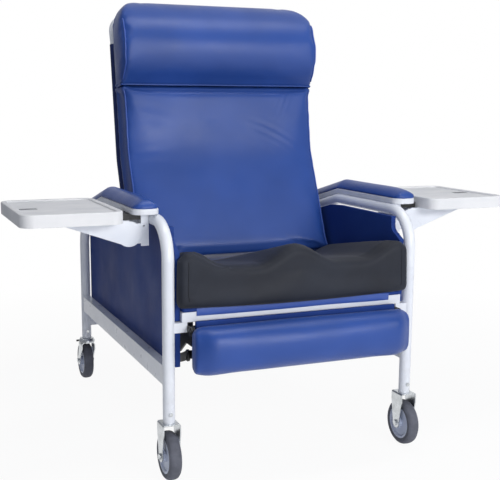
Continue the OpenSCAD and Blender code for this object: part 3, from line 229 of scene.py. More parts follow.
def stretch_cover(name, deep, pale):
    """Charcoal stretch knit over foam: matt, with lint and a soft sheen on its curves.
    Its ribs repeat at 1.7 mm and its rows at 2.1 mm, coarser than a real knit's, so
    that they show."""
    mat, tree, place = new_tree(name)
    patches = add(tree, "TexNoise", Vector=place, Scale=6.0, Detail=3.0, Roughness=NOISE)
    lint = add(tree, "TexNoise", Vector=place, Scale=900.0, Detail=2.0, Roughness=NOISE)
    share = add(tree, "MapRange", _0=patches, _1=0.35, _2=0.65, _3=0, _4=1)
    colour = add(tree, "Mix", RGBA, 2, _0=share, _6=rgb(deep), _7=rgb(pale))
    share = add(tree, "MapRange", _0=lint, _1=0.55, _2=0.8, _3=0.0, _4=0.18)
    colour = add(tree, "Mix", RGBA, 2, _0=share, _6=colour, _7=rgb("4A4C55"))
    ribs = add(tree, "TexWave", {"bands_direction": "X"}, "Fac", Vector=place, Scale=190.0, Distortion=0.4,
               Detail=1.0)
    rows = add(tree, "TexWave", {"bands_direction": "Z"}, "Fac", Vector=place, Scale=150.0, Distortion=0.6,
               Detail=1.0)
    knit = add(tree, "Math", {"operation": "MULTIPLY"}, _0=ribs, _1=rows)
    foam = add(tree, "TexNoise", Vector=place, Scale=16.0, Detail=2.0, Roughness=NOISE)
    dents = add(tree, "Bump", Height=foam, Distance=0.0014, Strength=0.5)
    normal = add(tree, "Bump", Height=knit, Distance=0.00018, Strength=0.5, Normal=dents)
    rough = add(tree, "MapRange", _0=patches, _1=0.3, _2=0.7, _3=0.56, _4=0.68)
    return surface(tree, mat, colour, rough, normal, Specular_IOR_Level=0.25, Sheen_Weight=0.05,
                   Sheen_Roughness=0.4)


def moulded(name, deep, pale, rough=(0.34, 0.48), grain_scale=700.0, grain=0.00008, speck=0.0):
    """Moulded plastic with a spark-eroded grain of 1.4 mm, drawn coarse so that it
    shows, and a trace of flow marks."""
    mat, tree, place = new_tree(name)
    stretched = add(tree, "Mapping", Vector=place, Scale=(1, 2.5, 1))
    flow = add(tree, "TexNoise", Vector=stretched, Scale=8.0, Detail=2.0, Roughness=NOISE)
    fine = add(tree, "TexNoise", Vector=place, Scale=grain_scale, Detail=2.0, Roughness=NOISE)
    share = add(tree, "MapRange", _0=flow, _1=0.35, _2=0.65, _3=0, _4=1)
    colour = add(tree, "Mix", RGBA, 2, _0=share, _6=rgb(deep), _7=rgb(pale))
    if speck:
        share = add(tree, "MapRange", _0=fine, _1=0.62, _2=0.72, _3=0.0, _4=speck)
        colour = add(tree, "Mix", RGBA, 2, _0=share, _6=colour, _7=rgb(deep))
    edges = add(tree, "Bevel", {"samples": 4}, Radius=0.0014)
    normal = add(tree, "Bump", Height=fine, Distance=grain, Strength=0.6, Normal=edges)
    gloss = add(tree, "MapRange", _0=fine, _1=0.3, _2=0.7, _3=rough[0], _4=rough[1])
    return surface(tree, mat, colour, gloss, normal, Specular_IOR_Level=0.3)


def rubber(name, deep, pale):
    """Grey non-marking tyre rubber: matt, scuffed, with dust in its pores."""
    mat, tree, place = new_tree(name)
    scuffs = add(tree, "TexNoise", Vector=place, Scale=45.0, Detail=5.0, Roughness=NOISE)
    share = add(tree, "MapRange", _0=scuffs, _1=0.35, _2=0.7, _3=0, _4=1)
    colour = add(tree, "Mix", RGBA, 2, _0=share, _6=rgb(deep), _7=rgb(pale))
    pores = add(tree, "TexNoise", Vector=place, Scale=420.0, Detail=3.0, Roughness=NOISE)
    normal = add(tree, "Bump", Height=pores, Distance=0.00022, Strength=0.6)
    rough = add(tree, "MapRange", _0=scuffs, _1=0.3, _2=0.7, _3=0.62, _4=0.82)
    return surface(tree, mat, colour, rough, normal)


def wrapped_board(name, clear_below, deep, pale):
    """Back board: birch plywood with plies of 1.8 mm, bare along its lower edge and
    wrapped in the upholstery vinyl above it."""
    mat, tree, place = new_tree(name)
    lengthwise = add(tree, "Mapping", Vector=place, Scale=(0.06, 1, 1))
    grain = add(tree, "TexNoise", Vector=lengthwise, Scale=60.0, Detail=5.0, Roughness=NOISE)
    plies = add(tree, "TexWave", {"bands_direction": "Y"}, "Fac", Vector=place, Scale=170.0, Distortion=1.2,
                Detail=2.0)
    share = add(tree, "MapRange", _0=grain, _1=0.3, _2=0.7, _3=0, _4=1)
    colour = add(tree, "Mix", RGBA, 2, _0=share, _6=rgb("A98352"), _7=rgb("CFB384"))
    share = add(tree, "MapRange", _0=plies, _1=0.5, _2=0.9, _3=0.0, _4=0.45)
    colour = add(tree, "Mix", RGBA, 2, _0=share, _6=colour, _7=rgb("8E6B3F"))
    height = add(tree, "SeparateXYZ", out="Z", Vector=place)
    wrap = add(tree, "MapRange", _0=height, _1=clear_below - 0.0005, _2=clear_below + 0.0005, _3=0, _4=1)
    patches = add(tree, "TexNoise", Vector=place, Scale=6.0, Detail=2.0, Roughness=NOISE)
    share = add(tree, "MapRange", _0=patches, _1=0.35, _2=0.65, _3=0, _4=1)
    vinyl_tone = add(tree, "Mix", RGBA, 2, _0=share, _6=rgb(deep), _7=rgb(pale))
    colour = add(tree, "Mix", RGBA, 2, _0=wrap, _6=colour, _7=vinyl_tone)
    rough = add(tree, "MapRange", _0=grain, _1=0.3, _2=0.7, _3=0.45, _4=0.6)
    normal = add(tree, "Bump", Height=grain, Distance=0.0001, Strength=0.5)
    return surface(tree, mat, colour, rough, normal, Specular_IOR_Level=0.3)


blue = vinyl("royal_blue_vinyl", "26478F", "2D4F9C", shine=0.4)
navy = vinyl("navy_vinyl", "1A2A5C", "203166", (0.4, 0.52), shine=0.25)
# Darker copy of the royal blue vinyl, for the side panels and the seat deck; on the legrest's board it is painted
# shade under the seat.
side_vinyl_and_painted_shade = vinyl("side_panel_vinyl", "21397C", "274287", (0.4, 0.52), 0.00009, 0.1)
# Lighter blue for the piping; on the seat deck's apron this lighter tone is a painted highlight.
piping = vinyl("piping_vinyl", "3A57A6", "4361B0", (0.3, 0.4), 0.00006)
cover = stretch_cover("charcoal_stretch_knit", "20232C", "292D37")
white = enamel("white_powder_coat", "E3E7F0", "EFF2F8")
base_white = moulded("white_arm_base_moulding", "E2E5EC", "EDEFF4")
tray_white = moulded("tray_moulding", "E4E5E7", "EFEFF0", (0.55, 0.7), 520.0, 0.00012, 0.2)
grey_pad = moulded("grey_recess_grip", "8E9093", "A1A3A6", (0.6, 0.75), 300.0, 0.0003)
zinc = plated("bright_zinc_plate", "BFC2C4", "DFE3E7")
steel = painted_steel("black_mechanism_paint", "101011", "35353A")
pedal_black = moulded("black_pedal_moulding", "141416", "232327", (0.5, 0.7), 300.0, 0.0002)
tyre_grey = rubber("grey_tyre_rubber", "565862", "6A6C77")
hub_grey = moulded("grey_hub_moulding", "C4CCE0", "D6DCEA", (0.36, 0.5))
board = wrapped_board("plywood_wrapped_in_navy_vinyl", low("back_board").z + 0.012, "1E2E63", "24366F")
# Black for the seat tubes' plugs; on the piece at each tray arm's tip it is painted shade.
black_caps_and_tip_shade = moulded("black_end_cap", "17171A", "26262B", (0.5, 0.65))
thread = vinyl("blue_seam_thread", "24397A", "2C4488", (0.6, 0.75), 0.00005)
thread_grey = stretch_cover("charcoal_seam_thread", "181A1F", "1F2126")

FINISH = {
    white: ("side_frame", "side_rail", "rear_cross_rail", "seat_frame", "seat_end_blocks", "leg_stubs",
            "back_frame", "tray_bracket", "tray_arm"),
    base_white: ("arm_base",),
    tray_white: ("tray",),
    steel: ("recliner_rail", "recliner_plate", "legrest_hinges", "legrest_arm", "back_lever", "drive_link",
            "tray_stops"),
    zinc: ("front_fork", "front_axles", "caster_stems", "leg_bolts", "rear_fork", "rear_axle"),
    pedal_black: ("brake_pedal",),
    tyre_grey: ("tyre_front", "tyre_rear"),
    hub_grey: ("hub_front", "hub_rear"),
    board: ("back_board",),
    blue: ("back_cushion", "head_roll", "legrest_pad", "legrest_board", "arm_pad"),
    side_vinyl_and_painted_shade: ("side_panel", "seat_deck"),
    navy: ("back_cover",),
    cover: ("seat_cushion",),
}
for mat, stems in FINISH.items():
    for node, ob in NODES.items():
        stem = node.replace("_left", "").replace("_right", "")
        if stem in stems:
            ob.data.materials.clear()
            ob.data.materials.append(mat)

# ---------------------------------------------------------------- mesh helpers


def obj_of(name, verts, faces, mat, body, smooth=True):
    mesh = bpy.data.meshes.new(name)
    mesh.from_pydata([tuple(v) for v in verts], [], faces)
    mesh.validate()
    mesh.polygons.foreach_set("use_smooth", [smooth] * len(mesh.polygons))
    mesh.materials.append(mat)
    ob = bpy.data.objects.new(name, mesh)
    scene.collection.objects.link(ob)
    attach(ob, body)
    return ob


def copy_of(node, name, mat, body):
    """Copy of a CAD node's mesh that a dressed piece starts from."""
    mesh = NODES[node].data.copy()
    mesh.materials.clear()
    mesh.materials.append(mat)
    ob = bpy.data.objects.new(name, mesh)
    scene.collection.objects.link(ob)
    work = bmesh.new()
    work.from_mesh(mesh)
    bmesh.ops.remove_doubles(work, verts=work.verts, dist=1e-5)
    bmesh.ops.recalc_face_normals(work, faces=work.faces)
    work.to_mesh(mesh)
    work.free()
    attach(ob, body)
    return ob


def coords(ob):
    flat = np.empty(len(ob.data.vertices) * 3, np.float32)
    ob.data.vertices.foreach_get("co", flat)
    return flat.reshape(-1, 3).astype(float)


def normals(ob):
    flat = np.empty(len(ob.data.vertices) * 3, np.float32)
    ob.data.vertices.foreach_get("normal", flat)
    return flat.reshape(-1, 3).astype(float)


def set_coords(ob, co):
    ob.data.vertices.foreach_set("co", co.astype(np.float32).ravel())
    ob.data.update()


def applied(ob):
    """Replaces the object's mesh by what its modifiers make of it."""
    shape = ob.evaluated_get(bpy.context.evaluated_depsgraph_get())
    mesh = bpy.data.meshes.new_from_object(shape)
    ob.modifiers.clear()
    old, ob.data = ob.data, mesh
    bpy.data.meshes.remove(old)
    mesh.polygons.foreach_set("use_smooth", [True] * len(mesh.polygons))
    return ob


def remeshed(ob, voxel, relax=6, inset=0.0):
    """Even quads over a pad, its edges softened, drawn in by a little."""
    step = ob.modifiers.new("even", "REMESH")
    step.mode, step.voxel_size = "VOXEL", voxel
    soft = ob.modifiers.new("soft", "SMOOTH")
    soft.factor, soft.iterations = 0.5, relax
    applied(ob)
    set_coords(ob, coords(ob) - inset * normals(ob))
    return ob


def swell(ob, held, cap, pressure=4.0, frames=20):
    """Blows the pad's cover up over its foam by cloth simulation. `held` marks the
    points that rest on something, and no point moves further than cap."""
    rest = coords(ob)
    group = ob.vertex_groups.new(name="held")
    group.add([int(i) for i in np.nonzero(held)[0]], 1.0, "ADD")
    cloth = ob.modifiers.new("swell", "CLOTH")
    cloth.settings.quality = 4
    cloth.settings.vertex_group_mass = "held"
    cloth.settings.use_pressure = True
    cloth.settings.uniform_pressure_force = pressure
    cloth.settings.effector_weights.gravity = 0
    cloth.point_cache.frame_start, cloth.point_cache.frame_end = 1, frames
    for f in range(1, frames + 1):
        scene.frame_set(f)
    applied(ob)
    scene.frame_set(1)
    ob.vertex_groups.clear()
    move = coords(ob) - rest
    far = np.linalg.norm(move, axis=1, keepdims=True)
    set_coords(ob, rest + move * np.where(far > 1e-9, cap * np.tanh(far / cap) / np.maximum(far, 1e-9), 1))
    return ob


def resting(ob, surface_below, reach):
    """Marks the points of a pad that lie within reach of what it rests on."""
    return np.array([surface_below.find_nearest(Vector(p))[3] for p in coords(ob)]) < reach


def subdivided(ob):
    step = ob.modifiers.new("fine", "SUBSURF")
    step.levels = step.render_levels = 1
    return applied(ob)


def ease(ob, share, rounds):
    """Evens out a dressed piece where its share of 0 to 1 says so."""
    ends = np.empty(len(ob.data.edges) * 2, np.int32)
    ob.data.edges.foreach_get("vertices", ends)
    a, b = ends.reshape(-1, 2).T
    co = coords(ob)
    count = np.maximum(np.bincount(ends, minlength=len(co)), 1)[:, None]
    for _ in range(rounds):
        total = np.zeros_like(co)
        np.add.at(total, a, co[b])
        np.add.at(total, b, co[a])
        co += 0.5 * share[:, None] * (total / count - co)
    set_coords(ob, co)


def hug(ob, node, share):
    """Draws part of a pad back onto its solid, as where two pads meet in a seam."""
    solid, co = surface_of(NODES[node]), coords(ob)
    for i in np.nonzero(share > 0.01)[0]:
        co[i] += share[i] * (np.array(solid.find_nearest(Vector(co[i]))[0]) - co[i])
    set_coords(ob, co)


def ramp(value, start, end):
    """Smooth step from 0 at start to 1 at end."""
    t = np.clip((value - start) / (end - start), 0, 1)
    return t * t * (3 - 2 * t)


def along(points, step=0.004):
    """Points at even steps along a line of points."""
    points = [Vector(p) for p in points]
    out = []
    for a, b in zip(points, points[1:]):
        n = max(1, int(round((b - a).length / step)))
        out += [a.lerp(b, i / n) for i in range(n)]
    return out + [points[-1]]


def pinch(ob, line, depth, width):
    """Draws the cover in along a seam."""
    line = along(line)
    tree = KDTree(len(line))
    for i, p in enumerate(line):
        tree.insert(p, i)
    tree.balance()
    co, out = coords(ob), normals(ob)
    near = np.array([tree.find(p)[2] for p in co])
    set_coords(ob, co - out * (depth * np.exp(-((near / width) ** 2)))[:, None])


def wrinkle(ob, at, run, length, gap, width, depth):
    """A group of short soft folds that run along `run`, side by side over `width`."""
    co, out = coords(ob), normals(ob)
    run = np.array(Vector(run).normalized())
    rel = co - np.array(at)
    u = rel @ run
    across = np.cross(out, run)
    across /= np.maximum(np.linalg.norm(across, axis=1, keepdims=True), 1e-9)
    v = (rel * across).sum(1)
    off = np.abs((rel * out).sum(1))
    bend = 0.08 * u * u / max(length, 1e-6)
    shape = np.exp(-((u / length) ** 2) - ((v / width) ** 2)) * np.cos(2 * math.pi * (v + bend) / gap)
    shape *= off < 0.04
    set_coords(ob, co + out * (depth * shape)[:, None])


def surface_of(ob):
    mesh = ob.data
    return BVHTree.FromPolygons([v.co for v in mesh.vertices], [p.vertices for p in mesh.polygons])


def snapped(tree, points, proud=0.0):
    """Points moved to the nearest place on a surface, and off it by `proud`."""
    out = []
    for p in points:
        spot, face_normal, _, _ = tree.find_nearest(Vector(p))
        out.append(spot + face_normal * proud)
    return out


def smoothed(points, rounds=3):
    points = [Vector(p) for p in points]
    for _ in range(rounds):
        middle = [(a + 2 * b + c) / 4 for a, b, c in zip(points, points[1:], points[2:])]
        points = [points[0]] + middle + [points[-1]]
    return points


def rows_of_faces(n, k, closed=False):
    """Faces that join n rings of k points in order, capped unless the line is closed."""
    faces = []
    for i in range(n if closed else n - 1):
        j = (i + 1) % n
        faces += [(i * k + a, i * k + (a + 1) % k, j * k + (a + 1) % k, j * k + a) for a in range(k)]
    if not closed:
        faces += [tuple(range(k - 1, -1, -1)), tuple(range((n - 1) * k, n * k))]
    return faces


def swept(points, section, closed=False):
    """Verts and faces of a section swept along a line. The section is a list of
    (side, up) offsets, and the ends of an open line are capped."""
    points = [Vector(p) for p in points]
    n, k = len(points), len(section)
    ahead = [(points[(i + 1) % n] - points[i - 1] if closed or 0 < i < n - 1
              else points[1] - points[0] if i == 0 else points[-1] - points[-2]).normalized() for i in range(n)]
    up = ahead[0].orthogonal().normalized()
    verts = []
    for i in range(n):
        up = (up - ahead[i] * up.dot(ahead[i])).normalized()
        side = ahead[i].cross(up)
        verts += [points[i] + side * s + up * u for s, u in section]
    return verts, rows_of_faces(n, k, closed)


def ring_section(r, sides=10):
    return [(r * math.cos(2 * math.pi * a / sides), r * math.sin(2 * math.pi * a / sides)) for a in range(sides)]


def welt(name, ob, line, r, mat, body, proud=0.0, closed=False):
    """Piping sewn along a line on a dressed piece."""
    points = smoothed(snapped(surface_of(ob), along(line, 0.006), proud), 2)
    verts, faces = swept(points[:-1] if closed else points, ring_section(r), closed)
    return obj_of(name, verts, faces, mat, body)


class Parts:
    """Small hardware of one finish on one body, gathered into one piece."""

    def __init__(self, name, mat, body, slot):
        self.name, self.mat, self.body, self.slot = name, mat, body, slot
        self.verts, self.faces = [], []

    def put(self, verts, faces):
        start = len(self.verts)
        self.verts += [Vector(v) for v in verts]
        self.faces += [tuple(i + start for i in f) for f in faces]

    def lathe(self, profile, at, axis, steps=20, turn=0.0):
        """Turned part: the profile is (radius, height) pairs from the foot to the top,
        closed at both ends on the axis."""
        spin = Vector((0, 0, 1)).rotation_difference(Vector(axis))
        at = Vector(at)
        ring = lambda r, h: [at + spin @ Vector((r * math.cos(turn + 2 * math.pi * s / steps),
                                                r * math.sin(turn + 2 * math.pi * s / steps), h))
                             for s in range(steps)]
        verts = [v for r, h in profile for v in ring(r, h)]
        self.put(verts, rows_of_faces(len(profile), steps))

    def screw(self, at, axis, r):
        """Domed head with a hexagon socket, on a washer."""
        self.lathe([(1.5 * r, 0), (1.5 * r, 0.0009), (1.42 * r, 0.0012), (r, 0.0012)], at, axis)
        top = [(r, 0.0010), (r, 0.0016), (0.9 * r, 0.0026), (0.62 * r, 0.0033), (0.5 * r, 0.0034),
               (0.46 * r, 0.0018)]
        self.lathe(top, at, axis)

    def nut(self, at, axis, r, h):
        """Six-sided nut with its corners turned off, and a domed thread end."""
        self.lathe([(1.45 * r, 0), (1.45 * r, 0.0008), (1.4 * r, 0.0011), (0.9 * r, 0.0011)], at, axis, 24)
        self.lathe([(1.1 * r, 0.0009), (1.16 * r, 0.0016), (1.16 * r, h - 0.0008), (1.0 * r, h)], at, axis, 6)
        self.lathe([(0.58 * r, h - 0.001), (0.58 * r, h + 0.0012), (0.4 * r, h + 0.002)], at, axis, 16)

    def bead(self, centre, axis, r, thick, steps=40):
        """Weld bead round a tube."""
        spin = Vector((0, 0, 1)).rotation_difference(Vector(axis))
        ring = [Vector(centre) + spin @ Vector((r * math.cos(a), r * math.sin(a), 0))
                for a in (2 * math.pi * s / steps for s in range(steps))]
        self.put(*swept(ring, ring_section(thick, 6), True))

    def run(self, line, r, sides=8):
        self.put(*swept(line, ring_section(r, sides)))

    def made(self):
        ob = obj_of(self.name, self.verts, self.faces, self.mat, self.body)
        work = bmesh.new()
        work.from_mesh(ob.data)
        bmesh.ops.recalc_face_normals(work, faces=work.faces)
        work.to_mesh(ob.data)
        work.free()
        ob.data.polygons.foreach_set("use_smooth", [False] * len(ob.data.polygons))
        ob.data.set_sharp_from_angle(angle=math.radians(35))
        ob.data.polygons.foreach_set("use_smooth", [True] * len(ob.data.polygons))
        return ob


def bevelled(node, name, mat, body, width, segments=3, picks=None, angle=30):
    """Copy of a flat-sided CAD node with its sharp edges rounded."""
    ob = copy_of(node, name, mat, body)
    work = bmesh.new()
    work.from_mesh(ob.data)
    bmesh.ops.dissolve_limit(work, angle_limit=math.radians(1.0), verts=work.verts, edges=work.edges)
    sharp = [e for e in work.edges if len(e.link_faces) == 2 and e.calc_face_angle() > math.radians(angle)
             and (picks is None or all(picks(v.co) for v in e.verts))]
    bmesh.ops.bevel(work, geom=sharp, offset=width, offset_type="OFFSET", affect="EDGES", segments=segments,
                    profile=0.5, clamp_overlap=True, material=-1)
    bmesh.ops.triangulate(work, faces=[f for f in work.faces if len(f.verts) > 4])
    work.to_mesh(ob.data)
    work.free()
    ob.data.polygons.foreach_set("use_smooth", [True] * len(ob.data.polygons))
    ob.data.set_sharp_from_angle(angle=math.radians(40))
    shade = ob.modifiers.new("flat faces", "WEIGHTED_NORMAL")
    shade.keep_sharp = True
    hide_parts(node)
    return ob


# ---------------------------------------------------------------- seat

# Seat cushion: a foam wedge with a trough for each thigh, in a stretch cover that
# rests on the deck.
seat = copy_of("seat_cushion", "seat_cushion_cover", cover, "frame")
remeshed(seat, 0.007, 2, 0.0)
co = coords(seat)
swell(seat, co[:, 2] < seat_top + 0.003, 0.005, 3.0)
subdivided(seat)
seat_lo, seat_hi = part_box("seat_cushion")
deck_front = low("seat_frame").y
co = coords(seat)
co[:, 2] = np.maximum(co[:, 2], seat_top + 0.0004)
# The cushion's nose fills out between the legs and hangs a little over the deck's edge.
nose = ramp(co[:, 1], front_y + 0.006, front_y - 0.016)
co[:, 0] *= 1 + nose * ((seat_hi.x + 0.005) / np.abs(co[:, 0]).max() - 1)
hang = ramp(co[:, 1], deck_front - 0.004, deck_front - 0.012) * ramp(co[:, 2], seat_top + 0.06, seat_top)
co[:, 2] -= 0.007 * hang * (1 - 1.15 * (co[:, 0] / seat_hi.x) ** 2)
set_coords(seat, co)
corner = 0.02
for x in (seat_lo.x, seat_hi.x):
    line = [(x - math.copysign(corner, x), seat_lo.y - 0.01, z)
            for z in np.linspace(seat_top + 0.02, seat_top + 0.12, 12)]
    pinch(seat, snapped(surface_of(seat), along(line, 0.01)), 0.0015, 0.006)
    welt("seat_corner_seam_" + ("left" if x < 0 else "right"), seat, line, 0.0009, thread_grey, "frame")
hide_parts("seat_cushion")

# Seat deck: vinyl drawn round a board.
deck = bevelled("seat_deck", "seat_deck_cover", side_vinyl_and_painted_shade, "frame", 0.004)

# The deck's vinyl runs down over the upper part of the seat's front tube. It is drawn in the lighter piping blue, a
# painted highlight on that band.
tube_lo, tube_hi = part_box("seat_frame")
blocks = abs(low("seat_end_blocks").x) - 0.038
rows = [(tube_lo.y - 0.0004, seat_top - 0.003), (tube_lo.y - 0.0004, tube_hi.z - 0.0105),
        (tube_lo.y - 0.0011, tube_hi.z - 0.0115), (tube_lo.y - 0.0018, tube_hi.z - 0.0105),
        (tube_lo.y - 0.0026, tube_hi.z - 0.004), (tube_lo.y - 0.0028, seat_top - 0.008),
        (tube_lo.y - 0.0022, seat_top - 0.003)]
# The apron's lighter piping blue is a painted highlight on the deck's vinyl.
apron = Parts("seat_deck_apron", piping, "frame", "blue_vinyl")
steps = np.linspace(-blocks + 0.0006, blocks - 0.0006, 60)
ring = [Vector((x, y + 0.0004 * math.sin(31 * x + 40 * z), z + 0.0006 * math.sin(17 * x))) for x in steps
        for y, z in rows]
apron.put(ring, rows_of_faces(len(steps), len(rows)))
apron.made()

# Side panels: vinyl over thin foam on a board.
for side, _ in SIDES:
    panel = bevelled("side_panel_" + side, "side_panel_cover_" + side, side_vinyl_and_painted_shade, "frame", 0.0035)

# ---------------------------------------------------------------- back

# The back's line runs up from its pivot at one rake and above the bend at another.
RAKE, UPPER_RAKE = math.radians(23), math.radians(9.5)
BEND_UP, BEND_R = 0.387, 0.15
BOARD_REACH = 0.012
pivot = next(Vector(j["pos_m"]) for j in frame["record"]["behaviour"]["joints"] if j["name"] == "back_recline")
lower_way = Vector((0, math.sin(RAKE), math.cos(RAKE)))
upper_way = Vector((0, math.sin(UPPER_RAKE), math.cos(UPPER_RAKE)))
bend = Vector((0, pivot.y, pivot.z)) + BEND_UP * lower_way
seam_z = high("back_cushion").z
BACKWARD = Vector((0, 1, 0))
seam_edge = surface_of(NODES["back_cushion"]).ray_cast(Vector((0, -2, seam_z - 0.0005)), BACKWARD)[0]


def past_seam(co, way):
    """Distance of points from the plane where the roll and the cushion meet."""
    square_to_it = np.array(upper_way)
    return way * (co @ square_to_it - np.array(seam_edge) @ square_to_it)


back = copy_of("back_cushion", "back_cushion_cover", blue, "back")
faces_back = surface_of(NODES["back_board"])
remeshed(back, 0.0075, 4, 0.002)
swell(back, resting(back, faces_back, BOARD_REACH), 0.009)
co, out = coords(back), normals(back)
ease(back, np.exp(-(((co - np.array(bend)) @ np.array(upper_way) / 0.09) ** 2)) * ramp(-out[:, 1], 0.6, 0.9), 140)
subdivided(back)
hug(back, "back_cushion", ramp(past_seam(coords(back), -1), 0.022, 0.004))

roll = copy_of("head_roll", "head_roll_cover", blue, "back")
remeshed(roll, 0.007, 5, 0.002)
swell(roll, resting(roll, faces_back, BOARD_REACH), 0.008)
ease(roll, np.ones(len(coords(roll))), 3)
subdivided(roll)
hug(roll, "head_roll", ramp(past_seam(coords(roll), 1), 0.020, 0.003))


def front_line(ob, x, heights, edge, out=0.012):
    """Line along the front edge of a pad, at its side x."""
    tree = surface_of(ob)
    inner = x - math.copysign(edge, x)
    line = []
    for z in heights:
        hit = tree.ray_cast(Vector((inner, -2, z)), BACKWARD)[0]
        if hit is not None:
            line.append(tree.find_nearest(Vector((x + math.copysign(out, x), hit.y - out, z)))[0])
    return line


half = high("back_cushion").x
for side, s in SIDES:
    z0, z1 = low("back_cushion").z + 0.05, seam_z - 0.03
    line = front_line(back, s * half, np.linspace(z0, z1, 60), 0.02)
    pinch(back, line, 0.002, 0.007)
    welt("back_piping_" + side, back, line, 0.0022, piping, "back", 0.0012)
    z0, z1 = low("head_roll").z + 0.02, high("head_roll").z - 0.05
    line = front_line(roll, s * half, np.linspace(z0, z1, 50), 0.03)
    pinch(roll, line, 0.0025, 0.008)
    welt("roll_piping_" + side, roll, line, 0.0022, piping, "back", 0.0012)

# A flat welt closes the seam between the roll and the cushion and turns in at its ends.
faces_front = surface_of(back)
inward = Vector((0, math.cos(UPPER_RAKE), -math.sin(UPPER_RAKE)))
front_points = [Vector((x, seam_edge.y, seam_z)) + inward * 0.0022
                for x in np.linspace(-half + 0.002, half - 0.002, 110)]
tails = [[p + inward * d - Vector((math.copysign(0.0006, p.x), 0, 0)) for d in np.linspace(0.004, 0.05, 14)]
         for p in (front_points[0], front_points[-1])]
line = smoothed(tails[0][::-1] + front_points + tails[1], 3)
joint = Parts("head_seam", blue, "back", "blue_vinyl")
oval = [(0.0030 * math.cos(a), 0.0042 * math.sin(a)) for a in np.linspace(0, 2 * math.pi, 13)[:-1]]
joint.put(*swept(line, oval))
joint.made()

# Soft folds where the cover is drawn over the foam.
for at, run, length, gap, width, depth in (
        ((0.215, 0.06, 0.985), (-0.35, 0, -1), 0.05, 0.02, 0.022, 0.0005),
        ((0.17, 0.05, 0.87), (0.9, 0, -0.45), 0.07, 0.026, 0.026, 0.0004),
        ((-0.24, 0.05, 0.93), (1, 0, -0.1), 0.05, 0.04, 0.05, 0.0003),
        ((-0.25, 0.03, 0.80), (1, 0, 0.08), 0.05, 0.036, 0.045, 0.0003)):
    hit = faces_front.ray_cast(Vector((at[0], -2, at[2])), BACKWARD)[0]
    wrinkle(back, hit, run, length, gap, width, depth)

for ob, node in ((back, "back_cushion"), (roll, "head_roll")):
    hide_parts(node)

# Cover behind the back: a vinyl sheet drawn round both uprights, tight at its edges
# and bowed in a little between them.
cover_r, cover_t = 0.0138, 0.0011
upright_x = high("back_cover").x - cover_r - 0.0006
cover_from, cover_to = 0.040, 0.744


def back_line(up):
    """Point of the back's line and the way square to it, to the rear, at `up`."""
    trim = BEND_R * math.tan((RAKE - UPPER_RAKE) / 2)
    if up <= BEND_UP - trim or up >= BEND_UP + trim:
        way = lower_way if up < BEND_UP else upper_way
        return bend + way * (up - BEND_UP), Vector((0, way.z, -way.y))
    turned = RAKE - (RAKE - UPPER_RAKE) * (up - BEND_UP + trim) / (2 * trim)
    way = Vector((0, math.sin(turned), math.cos(turned)))
    start = bend - lower_way * trim
    centre = start + Vector((0, -lower_way.z, lower_way.y)) * BEND_R
    rear_way = Vector((0, way.z, -way.y))
    return centre + rear_way * BEND_R, rear_way


arc = [(upright_x + cover_r * math.sin(a), -cover_r * math.cos(a)) for a in np.linspace(0.12, math.pi, 16)]
flat_run = [(x, cover_r) for x in np.linspace(upright_x, -upright_x, 46)[1:-1]]
section = arc + flat_run + [(-x, out) for x, out in arc[::-1]]
ups = np.linspace(cover_from, cover_to, 72)
verts = []
for up in ups:
    at, rear_way = back_line(up)
    ends = min(1.0, (up - cover_from) / 0.10, (cover_to - up) / 0.10)
    for x, out in section:
        middle = max(0.0, 1 - (x / upright_x) ** 2)
        ripple = 0.0008 * math.sin(38 * up + 9 * x) * math.sin(16 * x + 3)
        verts.append(at + Vector((x, 0, 0)) + rear_way * (out - middle * (0.0045 * ends + ripple)))
k = len(section)
quads = [(i * k + a, i * k + a + 1, (i + 1) * k + a + 1, (i + 1) * k + a) for i in range(len(ups) - 1)
         for a in range(k - 1)]
rear = obj_of("back_rear_cover", verts, quads, navy, "back")
wall = rear.modifiers.new("wall", "SOLIDIFY")
wall.thickness, wall.offset = cover_t, 0
work = bmesh.new()
work.from_mesh(rear.data)
bmesh.ops.recalc_face_normals(work, faces=work.faces)
work.to_mesh(rear.data)
work.free()
applied(rear)
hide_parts("back_cover")


def sewn(parts, line, stitch=0.0055, gap=0.0025, r=0.0006):
    """Row of stitches along a line."""
    line = along(line, 0.0005)
    per, skip = int(stitch / 0.0005), int((stitch + gap) / 0.0005)
    for i in range(0, len(line) - per, skip):
        parts.run(line[i : i + per : max(1, per // 3)], r, 5)


# Its hems are folded over and sewn, and a row of stitches holds it beside each tube.
hems = Parts("rear_cover_hems", navy, "back", "navy_vinyl")
stitches = Parts("rear_cover_stitches", thread, "back", "navy_vinyl")
flat = upright_x - 0.004
for up in (cover_from + 0.009, cover_to - 0.009):
    at, rear_way = back_line(up)
    along_way = lower_way if up < BEND_UP else upper_way
    line = [at + Vector((x, 0, 0)) + rear_way * (cover_r + 0.0012 - 0.0002) for x in np.linspace(-flat, flat, 60)]
    band = [(math.copysign(0.0085, c) if abs(c) > 0.2 else 0, 0.0006 * math.copysign(1, d))
            for c, d in ((1, 1), (-1, 1), (-1, -1), (1, -1))]
    ring = []
    for p in line:
        ring += [p + along_way * a + rear_way * b for a, b in band]
    hems.put(ring, rows_of_faces(len(line), len(band)))
    inward = 0.0055 if up < BEND_UP else -0.0055
    sewn(stitches, [p + along_way * inward + rear_way * 0.0009 for p in line])
for s in (-1, 1):
    line = []
    for up in np.linspace(cover_from + 0.02, cover_to - 0.02, 70):
        at, rear_way = back_line(up)
        line.append(at + Vector((s * (upright_x - 0.010), 0, 0)) + rear_way * (cover_r + 0.0006))
    sewn(stitches, line)
hems.made()
stitches.made()

# ---------------------------------------------------------------- legrest

pad = copy_of("legrest_pad", "legrest_pad_cover", blue, "legrest")
remeshed(pad, 0.006, 4, 0.0)
pad_lo, pad_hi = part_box("legrest_pad")
mid_z, half_z = (pad_lo.z + pad_hi.z) / 2, (pad_hi.z - pad_lo.z) / 2
thick = pad_hi.y - pad_lo.y
co = coords(pad)
